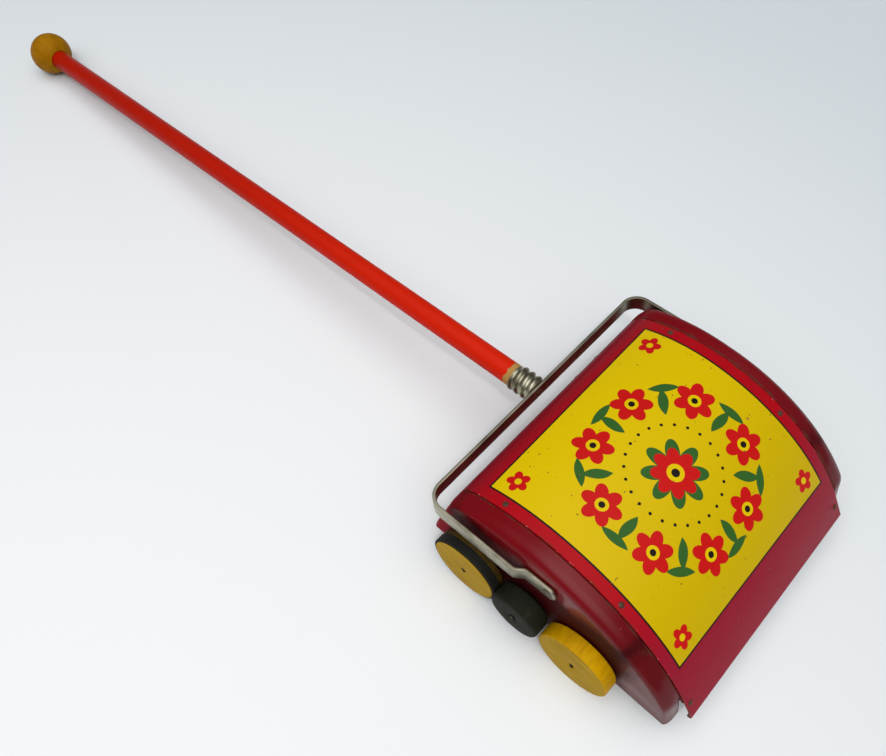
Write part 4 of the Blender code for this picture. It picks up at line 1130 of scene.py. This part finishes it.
# %% Bare metals
def worn_steel(name, bright, dark, rough_from):
    material, place = new_finish(name)
    tarnish = noise(place, 75, 5)
    scratches = noise(place, 260, 3, (1, 1, 9))
    colour = blend(bright, dark, tarnish.ramp(0.38, 0.72))
    rough = rough_from + 0.22 * tarnish + 0.12 * scratches
    normal = bumped(tarnish * 2 + scratches, 0.03 * MM, 0.6)
    return finished(material, place, colour, rough, Normal=normal, Metallic=1)


AXLE_STEEL = worn_steel("axle_steel", paint(120, 112, 98), paint(64, 54, 44), 0.3)
STRAP_STEEL = worn_steel("strap_steel", paint(164, 160, 140), paint(118, 112, 94), 0.2)
SOCKET_STEEL = worn_steel("socket_steel", paint(186, 182, 160), paint(126, 120, 98), 0.14)
TRAY_STEEL = worn_steel("tray_steel", paint(146, 138, 124), paint(120, 109, 94), 0.38)
BRASS = worn_steel("drum_brass", paint(214, 178, 96), paint(150, 112, 50), 0.24)
print("nodes in each metal:", len(BRASS.node_tree.nodes))

# %% Axles
AXLE_RADIUS = 1.6 * MM
AXLE_INSET = 1.5 * MM
BLADE_SIZE = (1.2 * MM, 2.2 * MM, 0.55 * MM)
BLADE_TURN = Matrix.Rotation(math.radians(40), 4, "X")
BLADE_EDGE = 0.2 * MM


def add_blade(bm, end):
    """The squeezed tip of an axle: a flat cube with round edges."""
    shape = Matrix.Translation(end) @ BLADE_TURN @ Matrix.Diagonal((*BLADE_SIZE, 1))
    blade = bmesh.ops.create_cube(bm, size=1, matrix=shape)
    edges = {edge for vert in blade["verts"] for edge in vert.link_edges}
    bmesh.ops.bevel(
        bm, geom=list(edges), offset=BLADE_EDGE, segments=2, profile=0.5, affect="EDGES", material=-1
    )


def axle_wire(name, axle, outer_x, body):
    half = outer_x - AXLE_INSET
    centre = Vector((0, axle.y, axle.z))
    profile = ((0, -half), (AXLE_RADIUS, -half), (AXLE_RADIUS, half), (0, half))
    bm = spun(profile, centre, Vector((1, 0, 0)), SLIM_STEPS)
    for sign in SIDES.values():
        add_blade(bm, centre + Vector((sign * outer_x, 0, 0)))
    place_piece(name + "_wire", bm, [AXLE_STEEL], body, [name])


axle_wire("front_axle", PIVOTS["front_axle_spin"], WHEEL_OUTER_X, "front_wheels")
axle_wire("rear_axle", PIVOTS["rear_axle_spin"], WHEEL_OUTER_X, "rear_wheels")
axle_wire("brush_shaft", PIVOTS["brush_spin"], ROLLER_OUTER_X, "brush_roller")

# %% [markdown]
# ## The bail
# A flat steel strap is bent round the back of the body, with a small step near each end so that it lies
# close to the cap, and hangs on two pins. A box section could be swept along the path, but a strip of
# faces that is given thickness and round edges keeps the bends clean. Each round end is a half turn of
# one short edge.


# %% Bail strap
PIVOT = PIVOTS["bail_pivot"]
BALL_RADIUS = 14.2 * MM
HANDLE_REACH = 539.5 * MM
REST_TILT = math.asin((PIVOT.z - BALL_RADIUS) / HANDLE_REACH)
BAIL_PLACE = Matrix.Translation(PIVOT) @ Matrix.Rotation(-REST_TILT, 4, "X")
STRAP_WIDTH = 9.2 * MM
STRAP_THICKNESS = 1.6 * MM
STRAP_EDGE = 0.3 * MM
STRAP_GAP = 0.4 * MM
STRAP_END_X = CAP_FACE_X + STRAP_GAP + STRAP_THICKNESS / 2
STRAP_END_STEPS = 16
JOGGLE = 3.2 * MM
JOGGLE_START = 12 * MM
JOGGLE_LENGTH = 6 * MM
JOGGLE_STEPS = 12
STRAP_ARM_X = STRAP_END_X + JOGGLE
BAIL_LENGTH = 71.5 * MM
BAIL_CORNER = 9 * MM
BAIL_CORNER_STEPS = 14


def strap_half():
    """The right half of the strap's middle line, from the pivot to the corner."""
    path = [(STRAP_END_X, 0), (STRAP_END_X, JOGGLE_START)]
    for i in range(1, JOGGLE_STEPS + 1):
        share = i / JOGGLE_STEPS
        ease = (1 - math.cos(math.pi * share)) / 2
        path.append((STRAP_END_X + JOGGLE * ease, JOGGLE_START + JOGGLE_LENGTH * share))
    corner = Vector((STRAP_ARM_X - BAIL_CORNER, BAIL_LENGTH - BAIL_CORNER))
    path += [tuple(point) for point in arc(corner, BAIL_CORNER, 0, QUARTER, BAIL_CORNER_STEPS)]
    return path


def strap_strip():
    half = strap_half()
    path = half + [(-x, y) for x, y in reversed(half)]
    bm = bmesh.new()
    _, edges = edge_chain(bm, [(x, y, -STRAP_WIDTH / 2) for x, y in path])
    for _ in range(2):
        row, edges = extrude_row(bm, edges)
        bmesh.ops.translate(bm, vec=(0, 0, STRAP_WIDTH / 2), verts=row)
    for sign in SIDES.values():
        pivot = Vector((sign * STRAP_END_X, 0, 0))
        ends, spoke = edge_chain(bm, [pivot, pivot + Vector((0, 0, STRAP_WIDTH / 2))])
        bmesh.ops.spin(
            bm, geom=ends + spoke, cent=pivot, axis=(1, 0, 0), angle=math.pi, steps=STRAP_END_STEPS
        )
    bmesh.ops.remove_doubles(bm, verts=bm.verts, dist=MERGE_WITHIN)
    bmesh.ops.recalc_face_normals(bm, faces=bm.faces)
    bmesh.ops.transform(bm, matrix=BAIL_PLACE, verts=bm.verts)
    return bm


def place_on_bail(name, bm, finish, node):
    return place_piece(name, bm, [finish], "bail_and_handle", [node])


strap = place_on_bail("bent_strap", strap_strip(), STRAP_STEEL, "bail_strap")
solidify(strap, STRAP_THICKNESS, offset=0)
round_edges(strap, STRAP_EDGE)

# %% [markdown]
# ## Pins and socket screw
# The strap's pins are riveted outside, so a low dome shows at each end. The screw that holds the handle
# has its head on the inside of the strap. Cylinders could be stacked for these, but then their ends
# would cross. One profile holds head, shank and foot, and a bevel rounds the edges.


# %% Pins and screw
PIN_RADIUS = 1.9 * MM
PIN_HEAD = 1.5 * PIN_RADIUS
PIN_DOME = 0.75 * MM
PIN_RIM = 0.1 * MM
PIN_SLACK = 0.3 * MM
PIN_FOOT = 1.4 * MM
PIN_EDGE = 0.2 * MM
PIN_STEPS = 40
CROWN_SHARE = 0.7
CROWN_DROP = 0.2 * MM
SCREW_HEAD = 2.2 * MM
SCREW_RADIUS = 1.4 * MM
SCREW_DOME = 0.8 * MM
SCREW_RIM = 0.25 * MM
SCREW_LENGTH = 12 * MM
HANDLE_AXIS = BAIL_PLACE.to_3x3() @ Vector((0, 1, 0))
STRAP_OUTSIDE = STRAP_END_X + STRAP_THICKNESS / 2
STRAP_BACK = BAIL_LENGTH + STRAP_THICKNESS / 2
STRAP_FRONT = BAIL_LENGTH - STRAP_THICKNESS / 2


def pivot_pin(sign):
    inside = CAP_FACE_X - SHEET - PIN_SLACK
    foot = inside - PIN_FOOT
    top = STRAP_OUTSIDE + PIN_DOME
    crown = (CROWN_SHARE * PIN_HEAD, top - CROWN_DROP)
    dome = ((0, top), crown, (PIN_HEAD, STRAP_OUTSIDE + PIN_RIM))
    shank = ((PIN_RADIUS, STRAP_OUTSIDE), (PIN_RADIUS, inside))
    tail = ((PIN_HEAD, inside), (PIN_HEAD, foot), (0, foot))
    bm = spun(dome + shank + tail, PIVOT, Vector((sign, 0, 0)), PIN_STEPS)
    soften(bm, PIN_EDGE, segments=2)
    return bm


def socket_screw():
    top = STRAP_FRONT - SCREW_DOME
    tip = STRAP_BACK + SCREW_LENGTH
    crown = (CROWN_SHARE * SCREW_HEAD, top + CROWN_DROP)
    dome = ((0, top), crown, (SCREW_HEAD, STRAP_FRONT - SCREW_RIM), (SCREW_HEAD, STRAP_FRONT))
    shank = ((SCREW_RADIUS, STRAP_FRONT), (SCREW_RADIUS, tip), (0, tip))
    bm = spun(dome + shank, PIVOT, HANDLE_AXIS, PIN_STEPS)
    soften(bm, RIVET_EDGE, segments=2)
    return bm


for name, sign in SIDES.items():
    place_on_bail(name + "_pin", pivot_pin(sign), AXLE_STEEL, name + "_pivot_pin")
place_on_bail("handle_screw", socket_screw(), RIVET_STEEL, "socket_screw")

# %% [markdown]
# ## Threaded socket
# The dowel's end screws into a short steel cup whose thin wall is rolled into a thread. The thread
# could be cut as a groove, but rolled sheet waves in and out on both sides. So a wavy profile is turned
# once about the axis while it moves on by one pitch: its ends meet in an unbroken screw line. Both ends
# are trimmed and the bottom is closed.


# %% Threaded socket
THREAD_RADIUS = 6.9 * MM
THREAD_DEPTH = 1.1 * MM
THREAD_PITCH = 4.3 * MM
THREAD_PHASE = 0.35
THREAD_POINTS = 12
THREAD_STEPS = 60
SOCKET_WALL = 0.5 * MM
SOCKET_LENGTH = 13.4 * MM
SOCKET_START = STRAP_BACK + SEAT
SOCKET_END = SOCKET_START + SOCKET_LENGTH
TRIM_MERGE = 0.06 * MM


def thread_profile():
    """Points along a wave, from one pitch before the socket to past its end."""
    turns = math.ceil((SOCKET_END - SOCKET_START) / THREAD_PITCH) + 1
    points = []
    for i in range(turns * THREAD_POINTS + 1):
        wave = math.cos(FULL_TURN * (i / THREAD_POINTS - THREAD_PHASE))
        distance = SOCKET_START + THREAD_PITCH * (i / THREAD_POINTS - 1)
        points.append((0, distance, THREAD_RADIUS + THREAD_DEPTH / 2 * wave))
    return points


def threaded_shell():
    bm = bmesh.new()
    chain, edges = edge_chain(bm, thread_profile())
    step = (0, THREAD_PITCH / THREAD_STEPS, 0)
    bmesh.ops.spin(
        bm, geom=chain + edges, cent=(0, 0, 0), axis=(0, 1, 0), dvec=step,
        angle=FULL_TURN, steps=THREAD_STEPS
    )
    bmesh.ops.remove_doubles(bm, verts=bm.verts, dist=MERGE_WITHIN)
    for mouth, outward in ((SOCKET_START, -1), (SOCKET_END, 1)):
        cut_away(bm, (0, mouth, 0), (0, outward, 0))
    bmesh.ops.remove_doubles(bm, verts=bm.verts, dist=TRIM_MERGE)
    middle = (SOCKET_START + SOCKET_END) / 2
    rim = [edge for edge in bm.edges if edge.is_boundary and edge.verts[0].co.y < middle]
    bottom = bmesh.ops.holes_fill(bm, edges=rim, sides=0)["faces"][0]
    point_outwards(bm, bottom, Vector((0, -1, 0)))
    bmesh.ops.transform(bm, matrix=BAIL_PLACE, verts=bm.verts)
    return bm


socket = place_on_bail("threaded_socket", threaded_shell(), SOCKET_STEEL, "socket_spring")
solidify(socket, SOCKET_WALL, offset=-1)
print("socket:", round((2 * THREAD_RADIUS + THREAD_DEPTH) / MM, 1), "mm over the thread")

# %% [markdown]
# ## Handle and ball
# The handle is a dowel in plain red paint that ends raggedly just short of the socket, where bare wood
# shows. The ball is turned and stained yellow. A cylinder and a sphere would serve, but the dowel has a
# thinner tenon in the socket and the ball a bore for the dowel, so both are spun about the handle's own
# axis. The paint's edge is a mask along the dowel, moved to and fro by noise.


# %% Dowel
ROD_RADIUS = 6.35 * MM
ROD_EDGE = 0.35 * MM
ROD_STEPS = 64
ROD_SHOULDER = SOCKET_END + SEAT
TENON_SLACK = 0.3 * MM
PAINT_EDGE_Y = BODY_Y + 81 * MM
PAINT_EDGE_SOFT = 0.2 * MM
PAINT_EDGE_RAGGED = 5 * MM
BALL_DARK_Y = BODY_Y + 440 * MM
BALL_BORE_DEPTH = 13 * MM
BALL_BORE_END = HANDLE_REACH - BALL_RADIUS + BALL_BORE_DEPTH
DOWEL_RED = paint(213, 34, 2)
DOWEL_DEEP_RED = paint(201, 28, 3)
DOWEL_STREAK = paint(166, 20, 8)
DOWEL_FAR_RED = paint(158, 18, 1)
DOWEL_SCUFF = paint(120, 40, 20)
BARE_WOOD_PALE = paint(196, 152, 88)
BARE_WOOD_DEEP = paint(150, 108, 54)


def dowel_paint():
    material, place = new_finish("red_dowel_paint")
    _, y, _ = place.parts()
    streaks = noise(place, 160, 4, (4, 0.3, 4))
    clouds = noise(place, 14, 3)
    fine = noise(place, 900, 2)
    red = blend(DOWEL_RED, DOWEL_DEEP_RED, clouds)
    red = blend(red, DOWEL_STREAK, streaks.ramp(0.55, 0.8) * 0.4)
    red = blend(red, DOWEL_FAR_RED, y.ramp(PAINT_EDGE_Y, BALL_DARK_Y) * 0.8)
    grain = noise(place, 300, 4, (4, 0.4, 4))
    bare = blend(BARE_WOOD_PALE, BARE_WOOD_DEEP, grain)
    ragged = (noise(place, 260, 4) - 0.5) * PAINT_EDGE_RAGGED
    painted = (y + ragged).ramp(PAINT_EDGE_Y - PAINT_EDGE_SOFT, PAINT_EDGE_Y + PAINT_EDGE_SOFT)
    scuffs = noise(place, 210, 5).ramp(0.73, 0.76) * 0.5
    colour = blend(blend(bare, red, painted), DOWEL_SCUFF, scuffs)
    rough = 0.62 - painted * 0.24 + fine * 0.08 + scuffs * 0.2
    normal = bumped(streaks + painted * 2 + fine * 0.1, 0.05 * MM, 0.6)
    return finished(material, place, colour, rough, Normal=normal, Specular_IOR_Level=0.08)


def dowel():
    """The rod, from its tenon in the socket to its end in the ball."""
    tenon = THREAD_RADIUS - THREAD_DEPTH / 2 - SOCKET_WALL - TENON_SLACK
    start = SOCKET_START + SOCKET_WALL + SEAT
    profile = ((0, start), (tenon, start), (tenon, ROD_SHOULDER), (ROD_RADIUS, ROD_SHOULDER))
    profile += ((ROD_RADIUS, BALL_BORE_END), (0, BALL_BORE_END))
    bm = spun(profile, PIVOT, HANDLE_AXIS, ROD_STEPS)
    soften(bm, ROD_EDGE)
    return bm


place_on_bail("dowel", dowel(), dowel_paint(), "handle_rod")

# %% Ball
BALL_STEPS = 40
BALL_EDGE = 0.4 * MM


def turned_ball():
    """A sphere's profile, which turns in at the bore that holds the rod."""
    bore = ROD_RADIUS + SEAT
    mouth = math.pi - math.asin(bore / BALL_RADIUS)
    profile = []
    for i in range(BALL_STEPS + 1):
        turn = mouth * i / BALL_STEPS
        profile.append((BALL_RADIUS * math.sin(turn), HANDLE_REACH + BALL_RADIUS * math.cos(turn)))
    profile += [(bore, BALL_BORE_END + SEAT), (0, BALL_BORE_END + SEAT)]
    bm = spun(profile, PIVOT, HANDLE_AXIS, ROD_STEPS)
    soften(bm, BALL_EDGE, segments=2)
    return bm


place_on_bail("turned_ball", turned_ball(), BALL_WOOD, "handle_ball")

# %% [markdown]
# ## Under the body
# Seen from below there are two dust trays, the brush between them and the little drum with its comb.
# They could be drawn anew, but their solids have the right shape already. So each is copied, its loose
# triangles are merged and its edges are rounded.


# %% Trays, drum and comb
LOOSE_MERGE = 0.002 * MM
FLAT_WITHIN = math.radians(1)
SHARP_OVER = math.radians(40)
TRAY_EDGE = 0.15 * MM
COMB_EDGE = 0.1 * MM
GEAR_EDGE = 0.06 * MM
CORE_EDGE = 0.04 * MM


def refined(node, finish, body, edge):
    bm = bmesh.new()
    bm.from_mesh(frame["nodes"][node].data)
    bmesh.ops.remove_doubles(bm, verts=bm.verts, dist=LOOSE_MERGE)
    bmesh.ops.dissolve_limit(bm, angle_limit=FLAT_WITHIN, verts=bm.verts[:], edges=bm.edges[:])
    soften(bm, edge, segments=2, least=SHARP_OVER)
    for face in bm.faces:
        face.material_index = 0
    place_piece(node + "_fine", bm, [finish], body, [node])


for node in ("front_dust_tray", "rear_dust_tray"):
    refined(node, TRAY_STEEL, "sweeper_body", TRAY_EDGE)
for node in ("drum_bracket", "comb_rail", "tone_comb"):
    refined(node, AXLE_STEEL, "sweeper_body", COMB_EDGE)
for node in ("comb_screw_1", "comb_screw_2"):
    refined(node, RIVET_STEEL, "sweeper_body", COMB_EDGE)
for node in ("pinned_drum", "drum_gear"):
    refined(node, BRASS, "drum", GEAR_EDGE)
refined("drum_shaft", AXLE_STEEL, "drum", COMB_EDGE)
refined("drive_pinion", BRASS, "brush_roller", GEAR_EDGE)
refined("brush_core", BRUSH_WOOD, "brush_roller", CORE_EDGE)

# %% [markdown]
# ## Bristles
# Four rows of tufts stand in grooves of the wooden core. Hair would be heavy and would not export, so
# every bristle is a slim four-sided cone with its own lean and length. The random numbers are seeded,
# so each run is the same.


# %% Bristles
BRUSH_AXIS = PIVOTS["brush_spin"]
BRUSH_LEFT_X = -66 * MM
BRUSH_RIGHT_X = 49 * MM
BRUSH_CORE = 9 * MM
BRUSH_LENGTH = BRUSH_RIGHT_X - BRUSH_LEFT_X
BRUSH_MIDDLE_X = (BRUSH_RIGHT_X + BRUSH_LEFT_X) / 2
STRIP_WIDTH = 2.9 * MM
STRIP_HEIGHT = 2.2 * MM
STRIP_SINK = 1.2 * MM
STRIP_MARGIN = 4 * MM
BRISTLE_REACH = 22.2 * MM
BRISTLE_RADIUS = 0.22 * MM
BRISTLE_SINK = 0.5 * MM
BRISTLE_ROWS = 4
BRISTLES_PER_TUFT = 14
TUFT_PITCH = 4.8 * MM
TUFT_SPREAD = 1 * MM
LEAN_ALONG = 0.11
LEAN_ACROSS = 0.08
LEAST_SHORT = 0.3
MOST_SHORT = 1.3
BRISTLE_SEED = 7
BRISTLE_DARK = paint(58, 46, 34)
BRISTLE_PALE = paint(96, 78, 56)


def bristle_hair():
    material, place = new_finish("bristle_hair")
    shade = noise(place, 600, 2)
    colour = blend(BRISTLE_DARK, BRISTLE_PALE, shade)
    return finished(material, place, colour, 0.45 + shade * 0.2)


def add_bristle(bm, turn, tuft_x, chance):
    """One cone on the brush's core, which leans and falls short by chance."""
    foot_x = tuft_x + chance.uniform(-1, 1) * TUFT_SPREAD
    foot_y = chance.uniform(-1, 1) * TUFT_SPREAD
    foot = Vector((foot_x, foot_y, BRUSH_CORE - BRISTLE_SINK))
    lean_x = chance.uniform(-LEAN_ALONG, LEAN_ALONG)
    lean_y = chance.uniform(-LEAN_ACROSS, LEAN_ACROSS)
    lean = Vector((lean_x, lean_y, 1)).normalized()
    length = BRISTLE_REACH - foot.z - chance.uniform(LEAST_SHORT, MOST_SHORT) * MM
    stand = lean.to_track_quat("Z", "Y").to_matrix().to_4x4()
    centre = Matrix.Translation(foot + lean * length / 2)
    bmesh.ops.create_cone(
        bm, cap_ends=True, segments=4, radius1=BRISTLE_RADIUS, radius2=BRISTLE_RADIUS / 2,
        depth=length, matrix=turn @ centre @ stand
    )


def bristle_row(row, chance):
    """One row: a slim wooden strip in its groove, and tufts of leaning bristles."""
    angle = (row + 0.5) * FULL_TURN / BRISTLE_ROWS
    turn = Matrix.Translation(BRUSH_AXIS) @ Matrix.Rotation(angle - QUARTER, 4, "X")
    place = Matrix.Translation((BRUSH_MIDDLE_X, 0, BRUSH_CORE - STRIP_SINK))
    strip_size = Matrix.Diagonal((BRUSH_LENGTH, STRIP_WIDTH, STRIP_HEIGHT, 1))
    bm = bmesh.new()
    bmesh.ops.create_cube(bm, size=1, matrix=turn @ place @ strip_size)
    tufts = int((BRUSH_LENGTH - STRIP_MARGIN) / TUFT_PITCH) + 1
    for tuft in range(tufts):
        tuft_x = BRUSH_MIDDLE_X + (tuft - (tufts - 1) / 2) * TUFT_PITCH
        for _ in range(BRISTLES_PER_TUFT):
            add_bristle(bm, turn, tuft_x, chance)
    return bm


BRISTLE_HAIR = bristle_hair()
chance = random.Random(BRISTLE_SEED)
for number in range(1, BRISTLE_ROWS + 1):
    bm = bristle_row(number - 1, chance)
    node = f"bristle_strip_{number}"
    place_piece(f"bristle_row_{number}", bm, [BRISTLE_HAIR], "brush_roller", [node])
